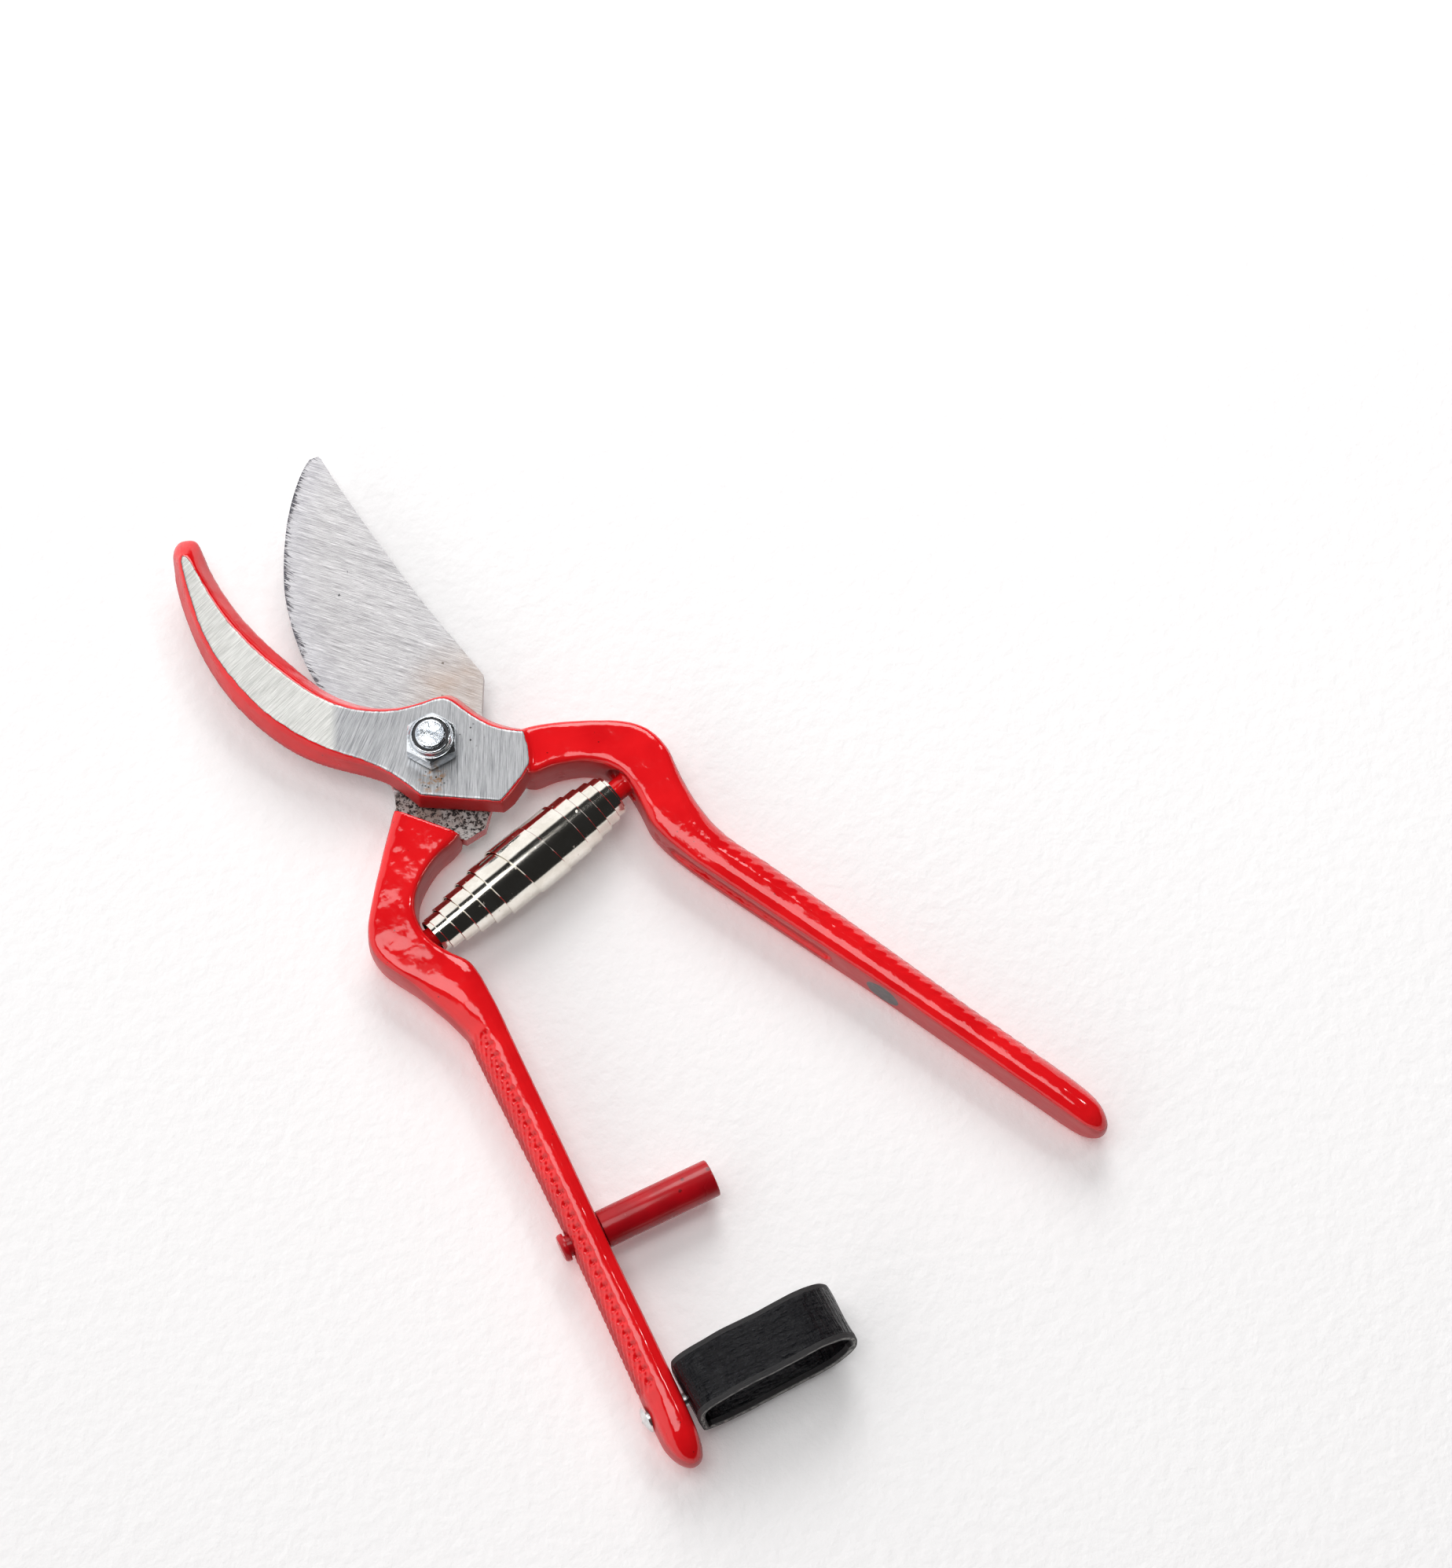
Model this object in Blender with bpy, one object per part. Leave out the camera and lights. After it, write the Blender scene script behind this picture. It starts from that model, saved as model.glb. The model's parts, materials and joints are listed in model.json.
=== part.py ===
"""Bypass pruning shears: two forged arms on one pivot bolt, a volute spring, a stop pin and a strap.

Frame: metres, +Z up. The origin is on the pivot axis in the plane that the shears lie on, +Y points
to the tips, and +X to the handle of the hook arm. The shears stand open, as the spring holds them.
"""

import math

import bmesh
import bpy
from mathutils import Euler, Vector

MM = 0.001

# Heights of the stack on the pivot, in millimetres above the plane that the shears lie on.
HEAD_TOP = 3.2
BLADE_LOW = 3.5
BLADE_HIGH = 6.3
HOOK_LOW = 6.6
HOOK_HIGH = 10.5
NUT_LOW = 10.8
NUT_SHOULDER = 14.2
NUT_HIGH = 15.5
BOLT_HIGH = 16.0
MID_HEIGHT = 5.0

# Pivot bolt and lock nut.
BOLT_RADIUS = 2.5
HEXAGON_FLATS = 8.0
NUT_TURN = math.radians(21.6)
THREAD_RADIUS = 2.6
COLLAR_RADIUS = 3.45
COLLAR_BORE = 3.05
INSERT_OUTER = 2.98
INSERT_INNER = 2.58
PIVOT_HOLE_RADIUS = 2.75

# Steps of the two plates: the hook arm's is round, the blade arm's is straight.
HOOK_STEP_RADIUS = 15.6
BLADE_STEP_DISTANCE = 12.45
BLADE_STEP_ANGLE = math.radians(210.9)

# Spring and its seats. Both seats are at one distance from the pivot.
SEAT_DISTANCE = 32.7
HOOK_SEAT_ANGLE = math.radians(-46.9)
BLADE_SEAT_ANGLE = math.radians(-128.4)
SPRING_HEIGHT = 5.75
SPRING_COILS = 13
SPRING_END_RADIUS = 3.15
SPRING_COIL_GROWTH = 0.43
SPRING_WALL = 0.85
SEAT_GAP = 0.3
POCKET_RADIUS = 3.5
POCKET_LENGTH = 9.0
PEG_RADIUS = 1.9
PEG_LENGTH = 5.0
PEG_TIP_TAPER = 0.7
PEG_ROOT = 3.5

# Stop pin: its axis starts on the inner face of the blade arm's handle.
PIN_FOOT = (-27.9, -81.4)
PIN_ANGLE = math.radians(-12.4)
PIN_RADIUS = 3.15
PIN_LENGTH = 20.0
PIN_SHANK_RADIUS = 1.8
PIN_HEAD_RADIUS = 2.35
PIN_HEAD_SEAT = 5.9

# Strap and its rivet, on the same handle near its end.
STRAP_FOOT = (-34.2, -111.2)
STRAP_ANGLE = math.radians(-10.5)
STRAP_WIDTH = 10.2
STRAP_THICKNESS = 1.3
STRAP_TAB_DEPTH = 1.3
TAB_HALF_HEIGHT = 4.2
LOOP_HEIGHT = 13.0
LOOP_LENGTH = 26.0
LOOP_START = 2.5
LOOP_LEAN = math.radians(8.0)
RIVET_SHANK_RADIUS = 1.2
RIVET_HEAD_RADIUS = 2.2
RIVET_HEAD_SEAT = 6.6

# Shallow channel along the inner face of each handle.
CHANNEL_LENGTH = 33.0
CHANNEL_HEIGHT = 3.8
CHANNEL_DEPTH = 0.6

GAP = 0.3
HOLE_PLAY = 0.2
PAST_HANDLE = 12.0
ROUND_SIDES = 32


def clear_scene():
    for obj in list(bpy.data.objects):
        bpy.data.objects.remove(obj, do_unlink=True)


def make_material(name, color, roughness, metallic):
    material = bpy.data.materials.new(name)
    material.use_nodes = True
    shader = material.node_tree.nodes["Principled BSDF"]
    shader.inputs["Base Color"].default_value = (*color, 1.0)
    shader.inputs["Roughness"].default_value = roughness
    shader.inputs["Metallic"].default_value = metallic
    material.diffuse_color = (*color, 1.0)
    return material


def add_object(name, mesh, material=None):
    obj = bpy.data.objects.new(name, mesh)
    bpy.context.scene.collection.objects.link(obj)
    if material:
        mesh.materials.append(material)
    return obj


def loft(name, rings, closed=False, material=None):
    """An object whose skin runs through rings of equally many points; closed joins the last to the first."""
    bm = bmesh.new()
    rows = [[bm.verts.new(Vector(point) * MM) for point in ring] for ring in rings]
    pairs = list(zip(rows, rows[1:]))
    if closed:
        pairs.append((rows[-1], rows[0]))
    for low, high in pairs:
        for i in range(len(low)):
            j = (i + 1) % len(low)
            bm.faces.new((low[i], low[j], high[j], high[i]))
    if not closed:
        bm.faces.new(rows[0])
        bm.faces.new(rows[-1])
    bmesh.ops.recalc_face_normals(bm, faces=bm.faces)
    mesh = bpy.data.meshes.new(name)
    bm.to_mesh(mesh)
    bm.free()
    mesh.shade_smooth()
    mesh.set_sharp_from_angle(angle=math.radians(35))
    return add_object(name, mesh, material)


def hide(obj):
    """Marks a helper: it only shapes another object."""
    obj.hide_render = True
    obj.display_type = "WIRE"
    return obj


def combine(obj, helper, operation):
    modifier = obj.modifiers.new(helper.name, "BOOLEAN")
    modifier.operation = operation
    modifier.object = hide(helper)


def place(obj, point, angle=0.0):
    """Puts the object's own origin at the point, turned about +Z."""
    obj.location = Vector(point) * MM
    obj.rotation_euler = Euler((0.0, 0.0, angle))


def attach(child, parent):
    child.parent = parent
    child.matrix_parent_inverse = parent.matrix_world.inverted()


def polar(distance, angle):
    return (distance * math.cos(angle), distance * math.sin(angle))


def smooth_run(rows, steps):
    """Rows read from a Catmull-Rom curve through the given rows, without the last one."""
    first = [2 * a - b for a, b in zip(rows[0], rows[1])]
    last = [2 * a - b for a, b in zip(rows[-1], rows[-2])]
    padded = [first, *rows, last]
    found = []
    for p, q, r, s in zip(padded, padded[1:], padded[2:], padded[3:]):
        for step in range(steps):
            t = step / steps
            weights = (
                0.5 * (-t + 2 * t * t - t**3),
                0.5 * (2 - 5 * t * t + 3 * t**3),
                0.5 * (t + 4 * t * t - 3 * t**3),
                0.5 * (-t * t + t**3),
            )
            columns = zip(p, q, r, s)
            found.append([sum(w * v for w, v in zip(weights, column)) for column in columns])
    return found


def ring_of(radius, height, sides=ROUND_SIDES):
    return [(*polar(radius, 2 * math.pi * i / sides), height) for i in range(sides)]


def hexagon_ring(flats, height, round_radius, sides=ROUND_SIDES * 3 // 4):
    """A hexagon whose corners are turned down to a round of the given radius."""
    ring = []
    for i in range(sides):
        angle = 2 * math.pi * i / sides
        off_flat = (angle + math.pi / 6) % (math.pi / 3) - math.pi / 6
        ring.append((*polar(min(flats / 2 / math.cos(off_flat), round_radius), angle), height))
    return ring


def turned(name, profile, material, hollow=False, sides=ROUND_SIDES):
    """A turned piece on its own Z axis from (radius, height) pairs."""
    return loft(name, [ring_of(r, h, sides) for r, h in profile], hollow, material)


def cutter_box(name, low, high):
    corners = [(low[0], low[1]), (high[0], low[1]), (high[0], high[1]), (low[0], high[1])]
    return loft(name, [[(x, y, z) for x, y in corners] for z in (low[2], high[2])])


def lying_turned(name, profile, point, angle, material=None, sides=24):
    """A turned piece that lies along the direction of the angle, from (radius, distance) pairs."""
    rings = []
    for radius, distance in profile:
        rings.append([(distance, x, y) for x, y, _ in ring_of(radius, 0.0, sides)])
    obj = loft(name, rings, False, material)
    place(obj, point, angle)
    return obj


# ---- Arms -------------------------------------------------------------------------------------

# Upper half of an arm's section, from its inner side to its outer side: place across and height,
# both from -1 to 1. The shoulder has draft on both sides of the parting line, and the handle has a
# flat inner face, a narrow top band up to a ridge, and a round outer side.
SHOULDER_SECTION = [
    (-1.0, 0.0), (-0.985, 0.35), (-0.955, 0.7), (-0.91, 0.87), (-0.82, 0.965), (-0.68, 1.0),
    (0.0, 1.0), (0.68, 1.0), (0.82, 0.965), (0.91, 0.87), (0.955, 0.7), (0.985, 0.35), (1.0, 0.0),
]
HANDLE_SECTION = [
    (-1.0, 0.0), (-1.0, 0.42), (-0.99, 0.74), (-0.94, 0.83), (-0.84, 0.88), (-0.42, 0.985),
    (0.0, 1.0), (0.22, 0.95), (0.46, 0.84), (0.68, 0.68), (0.85, 0.48), (0.96, 0.25), (1.0, 0.0),
]

# Arm stations from the pivot to the end: inner x, y, outer x, y at the parting line, half the
# height, and how far the section has turned from the shoulder's to the handle's.
HOOK_ARM_STATIONS = [
    (8.2, -11.7, 11.0, -5.3, 5.0, 0.0),
    (10.2, -14.3, 14.8, -6.6, 5.0, 0.0),
    (13.6, -15.3, 18.1, -8.3, 5.0, 0.0),
    (17.2, -17.1, 23.0, -11.6, 4.9, 0.0),
    (20.0, -19.7, 27.9, -15.5, 4.8, 0.0),
    (21.4, -22.7, 30.5, -19.3, 4.8, 0.0),
    (21.5, -25.9, 31.0, -23.9, 4.8, 0.0),
    (20.9, -29.6, 29.9, -28.7, 4.8, 0.2),
    (20.2, -33.0, 29.2, -33.3, 4.9, 0.5),
    (20.6, -37.3, 29.0, -38.1, 5.0, 0.8),
    (21.9, -42.9, 29.7, -42.7, 5.0, 1.0),
    (23.9, -49.9, 31.8, -49.5, 5.0, 1.0),
    (28.3, -64.5, 35.6, -63.9, 5.0, 1.0),
    (32.7, -79.1, 39.4, -78.7, 5.0, 1.0),
    (35.9, -90.6, 42.3, -90.2, 5.0, 1.0),
    (38.7, -100.7, 45.0, -100.0, 5.0, 1.0),
    (41.4, -110.5, 47.5, -109.7, 5.0, 1.0),
    (42.7, -115.2, 48.2, -114.3, 4.7, 0.8),
    (43.9, -118.3, 47.7, -117.5, 3.7, 0.4),
    (45.1, -119.7, 46.7, -119.4, 1.8, 0.0),
]
BLADE_ARM_STATIONS = [
    (-0.4, -12.9, -8.0, -1.5, 4.8, 0.0),
    (-6.5, -15.5, -13.3, -5.6, 4.8, 0.0),
    (-10.2, -15.8, -19.0, -10.5, 4.8, 0.0),
    (-13.7, -16.8, -23.6, -14.5, 4.8, 0.0),
    (-17.0, -18.6, -27.2, -18.1, 4.8, 0.0),
    (-19.2, -21.2, -29.1, -21.1, 4.8, 0.0),
    (-20.1, -24.2, -29.4, -24.2, 4.8, 0.0),
    (-19.9, -27.4, -28.5, -27.7, 4.8, 0.0),
    (-18.7, -30.6, -27.5, -31.1, 4.8, 0.2),
    (-17.5, -33.3, -26.8, -34.8, 4.9, 0.5),
    (-17.6, -36.9, -26.1, -38.4, 5.0, 0.8),
    (-18.7, -42.7, -25.6, -43.0, 5.0, 1.0),
    (-20.6, -50.7, -27.2, -50.3, 5.0, 1.0),
    (-24.7, -68.8, -30.7, -67.9, 5.0, 1.0),
    (-28.6, -85.2, -34.4, -84.9, 5.0, 1.0),
    (-31.9, -100.1, -38.0, -99.7, 5.0, 1.0),
    (-34.0, -109.3, -40.3, -109.4, 5.0, 1.0),
    (-35.4, -115.1, -41.6, -115.3, 4.7, 0.8),
    (-36.5, -118.7, -41.2, -118.5, 3.7, 0.4),
    (-37.8, -120.6, -39.8, -120.6, 1.8, 0.0),
]
SHOULDER_STATIONS = 11


def section_ring(station):
    inner_x, inner_y, outer_x, outer_y, half_height, turn = station
    half_height = min(half_height, MID_HEIGHT)
    upper = []
    for (a, b), (c, d) in zip(SHOULDER_SECTION, HANDLE_SECTION):
        upper.append((a + turn * (c - a), b + turn * (d - b)))
    lower = [(across, -up) for across, up in reversed(upper[1:-1])]
    ring = []
    for across, up in upper + lower:
        share = (across + 1) / 2
        x = inner_x + share * (outer_x - inner_x)
        y = inner_y + share * (outer_y - inner_y)
        ring.append((x, y, MID_HEIGHT + up * half_height))
    return ring


def arm_body(name, stations, material):
    """The shoulder and handle of an arm, with more rings round the shoulder's bends."""
    shoulder = smooth_run(stations[: SHOULDER_STATIONS + 1], 3)
    handle = smooth_run(stations[SHOULDER_STATIONS:], 2)
    rows = shoulder + handle + [stations[-1]]
    return loft(name, [section_ring(row) for row in rows], False, material)


def channel(name, stations):
    """A long shallow cutter along the inner face of a handle, with round ends."""
    start = Vector(stations[9][:2])
    end = Vector(stations[13][:2])
    along = (end - start).normalized()
    angle = math.atan2(along.y, along.x)
    radius = CHANNEL_HEIGHT / 2
    length = CHANNEL_LENGTH - 2 * radius
    outline = []
    for i in range(13):
        turn = math.pi / 2 + math.pi * i / 12
        outline.append((radius * math.cos(turn), radius * math.sin(turn)))
    for i in range(13):
        turn = -math.pi / 2 + math.pi * i / 12
        outline.append((length + radius * math.cos(turn), radius * math.sin(turn)))
    rings = [[(x, side, z) for x, z in outline] for side in (-CHANNEL_DEPTH, CHANNEL_DEPTH)]
    cutter = loft(name, rings)
    foot = start + along * radius
    place(cutter, (foot.x, foot.y, MID_HEIGHT), angle)
    return cutter


def peg(name, seat, toward):
    """The spring's peg, from inside the arm to past the seat."""
    angle = math.atan2(toward[1] - seat[1], toward[0] - seat[0])
    profile = [
        (PEG_RADIUS, -PEG_ROOT), (PEG_RADIUS, PEG_LENGTH - PEG_TIP_TAPER),
        (PEG_RADIUS - PEG_TIP_TAPER, PEG_LENGTH),
    ]
    return lying_turned(name, profile, (*seat, SPRING_HEIGHT), angle, sides=16)


def pocket(name, seat, toward):
    """The round pocket in the arm's wall that takes the end of the spring."""
    angle = math.atan2(toward[1] - seat[1], toward[0] - seat[0])
    profile = [(POCKET_RADIUS, 0.0), (POCKET_RADIUS, POCKET_LENGTH)]
    return lying_turned(name, profile, (*seat, SPRING_HEIGHT), angle)


# ---- Hook arm ---------------------------------------------------------------------------------

# Runs round the hook plate, clockwise from the tip. Each row is a point on the edge of the ground
# face and the point straight out from it on the foot of the border. Runs meet at corners.
HOOK_RUNS = [
    (
        [
            (-12.7, 53.8, -11.0, 58.2), (-13.3, 53.3, -13.3, 57.1), (-14.2, 51.6, -15.0, 54.1),
            (-16.0, 47.0, -17.7, 47.9), (-17.9, 41.3, -19.8, 40.9), (-19.0, 35.3, -20.9, 34.8),
            (-19.1, 28.9, -21.2, 28.3), (-18.5, 22.6, -20.5, 21.9), (-17.1, 17.3, -19.0, 15.9),
            (-15.3, 12.8, -16.8, 11.0), (-13.1, 8.8, -14.3, 7.2), (-11.0, 5.6, -11.8, 3.9),
            (-9.0, 1.8, -9.6, 0.5), (-7.8, -1.7, -8.5, -2.6), (-6.8, -5.8, -7.7, -6.4),
        ],
        3,
    ),
    ([(-6.8, -5.8, -7.7, -6.4), (-2.0, -10.4, -2.7, -10.9), (2.9, -14.9, 2.8, -15.9)], 2),
    ([(2.9, -14.9, 2.8, -15.9), (5.0, -14.4, 5.2, -15.7), (8.2, -13.6, 8.8, -14.5)], 2),
    ([(8.2, -13.6, 8.8, -14.5), (10.7, -12.5, 12.1, -13.2)], 2),
    ([(10.7, -12.5, 12.1, -13.2), (12.2, -10.2, 14.0, -10.5), (13.3, -7.4, 15.0, -6.8)], 2),
    (
        [
            (13.3, -7.4, 15.0, -6.8), (11.4, -5.6, 12.9, -4.6), (9.5, -3.0, 11.1, -1.9),
            (8.2, 0.4, 9.9, 1.0), (7.2, 4.2, 9.0, 5.1),
        ],
        2,
    ),
    ([(7.2, 4.2, 9.0, 5.1), (6.5, 5.5, 8.2, 6.6), (5.2, 6.3, 6.5, 7.5)], 2),
    (
        [
            (5.2, 6.3, 6.5, 7.5), (2.2, 7.3, 3.2, 8.6), (-1.0, 8.7, 0.1, 10.1),
            (-4.2, 11.0, -3.1, 12.6), (-7.2, 14.1, -5.4, 15.5), (-9.5, 17.9, -7.4, 19.3),
            (-11.2, 22.7, -8.7, 23.9), (-12.4, 27.7, -9.6, 28.6), (-13.3, 33.1, -10.4, 33.6),
            (-13.7, 39.4, -10.9, 39.6), (-13.3, 45.3, -10.7, 45.5), (-12.6, 49.9, -9.9, 50.8),
            (-12.3, 52.1, -8.7, 54.3), (-12.3, 53.2, -8.5, 56.5), (-12.7, 53.8, -11.0, 58.2),
        ],
        3,
    ),
]

# The border's sloping profile: share of the way out from the ground face, and share of its height.
BORDER_PROFILE = [(0.0, 1.0), (0.14, 0.96), (0.36, 0.8), (0.88, 0.26), (1.0, 0.08), (1.0, 0.0)]


def hook_plate():
    rows = [row for run, steps in HOOK_RUNS for row in smooth_run(run, steps)]
    rings = []
    for outward, up in BORDER_PROFILE:
        height = HOOK_LOW + up * (HOOK_HIGH - HOOK_LOW)
        ring = []
        for ground_x, ground_y, foot_x, foot_y in rows:
            x = ground_x + outward * (foot_x - ground_x)
            y = ground_y + outward * (foot_y - ground_y)
            ring.append((x, y, height))
        rings.append(ring)
    return loft("hook_plate_form", rings)


def make_hook_arm(enamel):
    seat = polar(SEAT_DISTANCE, HOOK_SEAT_ANGLE)
    other_seat = polar(SEAT_DISTANCE, BLADE_SEAT_ANGLE)
    arm = arm_body("hook_arm", HOOK_ARM_STATIONS, enamel)
    step_profile = [(HOOK_STEP_RADIUS, -2.0), (HOOK_STEP_RADIUS, HOOK_LOW + 0.1)]
    combine(arm, turned("hook_step_cutter", step_profile, None, sides=64), "DIFFERENCE")
    combine(arm, hook_plate(), "UNION")
    combine(arm, pocket("hook_pocket_cutter", seat, other_seat), "DIFFERENCE")
    combine(arm, peg("hook_peg_form", seat, other_seat), "UNION")
    combine(arm, channel("hook_channel_cutter", HOOK_ARM_STATIONS), "DIFFERENCE")
    hole = [(PIVOT_HOLE_RADIUS, 0.0), (PIVOT_HOLE_RADIUS, 20.0)]
    combine(arm, turned("hook_hole_cutter", hole, None), "DIFFERENCE")
    return arm


# ---- Blade arm --------------------------------------------------------------------------------

# Runs round the blade and its tang, anticlockwise from the tip: x, y and the width of the bevel
# ground on the underside.
BLADE_RUNS = [
    (
        [
            (16.9, 57.0, 0.6), (14.3, 56.2, 2.4), (11.5, 54.5, 3.6), (8.4, 52.1, 4.6),
            (5.4, 49.3, 5.3), (2.2, 45.7, 5.8), (-0.6, 42.0, 6.0), (-2.8, 38.6, 6.0),
            (-4.7, 34.6, 6.0), (-6.1, 30.9, 6.0), (-7.3, 26.8, 5.9), (-8.1, 22.1, 5.6),
            (-8.4, 17.1, 4.4), (-8.4, 12.1, 2.4), (-8.5, 6.7, 0.0),
        ],
        3,
    ),
    ([(-8.5, 6.7, 0.0), (-8.6, 2.5, 0.0), (-9.1, -0.7, 0.0), (-11.4, -4.7, 0.0)], 2),
    ([(-11.4, -4.7, 0.0), (-8.3, -10.5, 0.0)], 1),
    ([(-8.3, -10.5, 0.0), (-5.1, -15.6, 0.0)], 1),
    ([(-5.1, -15.6, 0.0), (-1.3, -15.9, 0.0)], 2),
    ([(-1.3, -15.9, 0.0), (1.0, -14.1, 0.0)], 1),
    ([(1.0, -14.1, 0.0), (5.0, -10.7, 0.0), (7.8, -6.5, 0.0), (9.3, -2.5, 0.0), (10.6, 0.9, 0.0)], 2),
    ([(10.6, 0.9, 0.0), (15.0, 6.2, 0.0)], 1),
    (
        [
            (15.0, 6.2, 0.0), (15.0, 13.4, 0.0), (14.9, 20.3, 0.0), (15.1, 27.7, 0.0),
            (15.5, 35.5, 0.0), (16.0, 43.3, 0.0), (16.7, 51.6, 0.0), (17.2, 55.5, 0.0),
            (16.9, 57.0, 0.6),
        ],
        2,
    ),
]
EDGE_THICKNESS = 0.25


def inset_point(before, row, after):
    """The row's point moved square to the outline, inwards, by the bevel width."""
    along = Vector((after[0] - before[0], after[1] - before[1])).normalized()
    return (row[0] - along.y * row[2], row[1] + along.x * row[2])


def blade_plate():
    rows = [row for run, steps in BLADE_RUNS for row in smooth_run(run, steps)]
    count = len(rows)
    inner = []
    for i, row in enumerate(rows):
        inner.append(inset_point(rows[i - 1], row, rows[(i + 1) % count]))
    rings = [
        [(x, y, BLADE_HIGH) for x, y, _ in rows],
        [(x, y, BLADE_HIGH - EDGE_THICKNESS) for x, y, _ in rows],
        [(x, y, BLADE_LOW) for x, y in inner],
    ]
    return loft("blade_plate_form", rings)


def make_blade_arm(enamel):
    seat = polar(SEAT_DISTANCE, BLADE_SEAT_ANGLE)
    other_seat = polar(SEAT_DISTANCE, HOOK_SEAT_ANGLE)
    arm = arm_body("blade_arm", BLADE_ARM_STATIONS, enamel)
    for name, low, high in (
        ("blade_step_cutter_high", BLADE_HIGH - 0.1, 20.0),
        ("blade_step_cutter_low", -5.0, BLADE_LOW + 0.1),
    ):
        cutter = cutter_box(name, (-20.0, -30.0, low), (BLADE_STEP_DISTANCE, 30.0, high))
        place(cutter, (0.0, 0.0, 0.0), BLADE_STEP_ANGLE)
        combine(arm, cutter, "DIFFERENCE")
    combine(arm, blade_plate(), "UNION")
    combine(arm, pocket("blade_pocket_cutter", seat, other_seat), "DIFFERENCE")
    combine(arm, peg("blade_peg_form", seat, other_seat), "UNION")
    combine(arm, channel("blade_channel_cutter", BLADE_ARM_STATIONS), "DIFFERENCE")
    for name, radius, foot, angle in (
        ("pin_hole_cutter", PIN_SHANK_RADIUS, PIN_FOOT, PIN_ANGLE),
        ("rivet_hole_cutter", RIVET_SHANK_RADIUS, STRAP_FOOT, STRAP_ANGLE),
    ):
        profile = [(radius + HOLE_PLAY, -PAST_HANDLE), (radius + HOLE_PLAY, PAST_HANDLE)]
        cutter = lying_turned(name, profile, (*foot, MID_HEIGHT), angle, sides=16)
        combine(arm, cutter, "DIFFERENCE")
    hole = [(PIVOT_HOLE_RADIUS, 0.0), (PIVOT_HOLE_RADIUS, 20.0)]
    combine(arm, turned("blade_hole_cutter", hole, None), "DIFFERENCE")
    return arm


# ---- Pivot ------------------------------------------------------------------------------------


def make_pivot_bolt(zinc):
    corner = HEXAGON_FLATS / math.sqrt(3)
    rings = [
        hexagon_ring(HEXAGON_FLATS, 0.0, corner - 0.35),
        hexagon_ring(HEXAGON_FLATS, 0.4, corner),
        hexagon_ring(HEXAGON_FLATS, HEAD_TOP, corner),
    ]
    sides = len(rings[0])
    rings.append(ring_of(BOLT_RADIUS, HEAD_TOP, sides))
    rings.append(ring_of(BOLT_RADIUS, BOLT_HIGH - 0.5, sides))
    rings.append(ring_of(BOLT_RADIUS - 0.5, BOLT_HIGH, sides))
    return loft("pivot_bolt", rings, False, zinc)


def make_lock_nut(zinc):
    corner = HEXAGON_FLATS / math.sqrt(3)
    flat = HEXAGON_FLATS / 2
    rings = [
        hexagon_ring(HEXAGON_FLATS, NUT_LOW, flat + 0.1),
        hexagon_ring(HEXAGON_FLATS, NUT_LOW + 0.35, corner),
        hexagon_ring(HEXAGON_FLATS, NUT_SHOULDER - 0.6, corner),
        hexagon_ring(HEXAGON_FLATS, NUT_SHOULDER, flat - 0.1),
    ]
    sides = len(rings[0])
    for radius, height in (
        (COLLAR_RADIUS, NUT_SHOULDER + 0.1), (COLLAR_RADIUS, NUT_HIGH - 0.35),
        (COLLAR_RADIUS - 0.2, NUT_HIGH), (COLLAR_BORE, NUT_HIGH),
        (COLLAR_BORE, NUT_SHOULDER - 0.2), (THREAD_RADIUS, NUT_SHOULDER - 0.2),
        (THREAD_RADIUS, NUT_LOW),
    ):
        rings.append(ring_of(radius, height, sides))
    nut = loft("lock_nut", rings, True, zinc)
    place(nut, (0.0, 0.0, 0.0), NUT_TURN)
    return nut


def make_nut_insert(nylon):
    low = NUT_SHOULDER - 0.1
    high = NUT_HIGH - 0.15
    profile = [(INSERT_INNER, low), (INSERT_OUTER, low), (INSERT_OUTER, high), (INSERT_INNER, high)]
    return turned("lock_nut_insert", profile, nylon, True, ROUND_SIDES * 3 // 4)


# ---- Spring -----------------------------------------------------------------------------------


def make_spring(nickel):
    """The wound strip as a stepped shell: coils grow to the middle and shrink again."""
    hook_seat = Vector(polar(SEAT_DISTANCE, HOOK_SEAT_ANGLE))
    blade_seat = Vector(polar(SEAT_DISTANCE, BLADE_SEAT_ANGLE))
    chord = blade_seat - hook_seat
    length = chord.length - 2 * SEAT_GAP
    pitch = length / SPRING_COILS
    middle = SPRING_COILS // 2
    outer = []
    inner = []
    for coil in range(SPRING_COILS):
        radius = SPRING_END_RADIUS + SPRING_COIL_GROWTH * (middle - abs(coil - middle))
        start = SEAT_GAP + coil * pitch
        outer += [(radius, start), (radius, start + pitch)]
        if coil % 3 == 0:
            inner.append((radius - SPRING_WALL, start + (pitch if coil == SPRING_COILS - 1 else 0)))
    rings = []
    for radius, distance in outer + inner[::-1]:
        rings.append([(distance, x, y) for x, y, _ in ring_of(radius, 0.0, 20)])
    spring = loft("volute_spring", rings, True, nickel)
    place(spring, (*hook_seat, SPRING_HEIGHT), math.atan2(chord.y, chord.x))
    return spring


# ---- Stop pin, strap and rivet ----------------------------------------------------------------


def riveted_end(shank_radius, head_radius, head_height, surface):
    """Profile of a domed head outside the handle, ending at the shank."""
    profile = []
    for i in range(5):
        turn = math.radians(12 + 78 * i / 4)
        profile.append((head_radius * math.sin(turn), surface - head_height * math.cos(turn)))
    profile.append((shank_radius, surface))
    return profile


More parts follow.
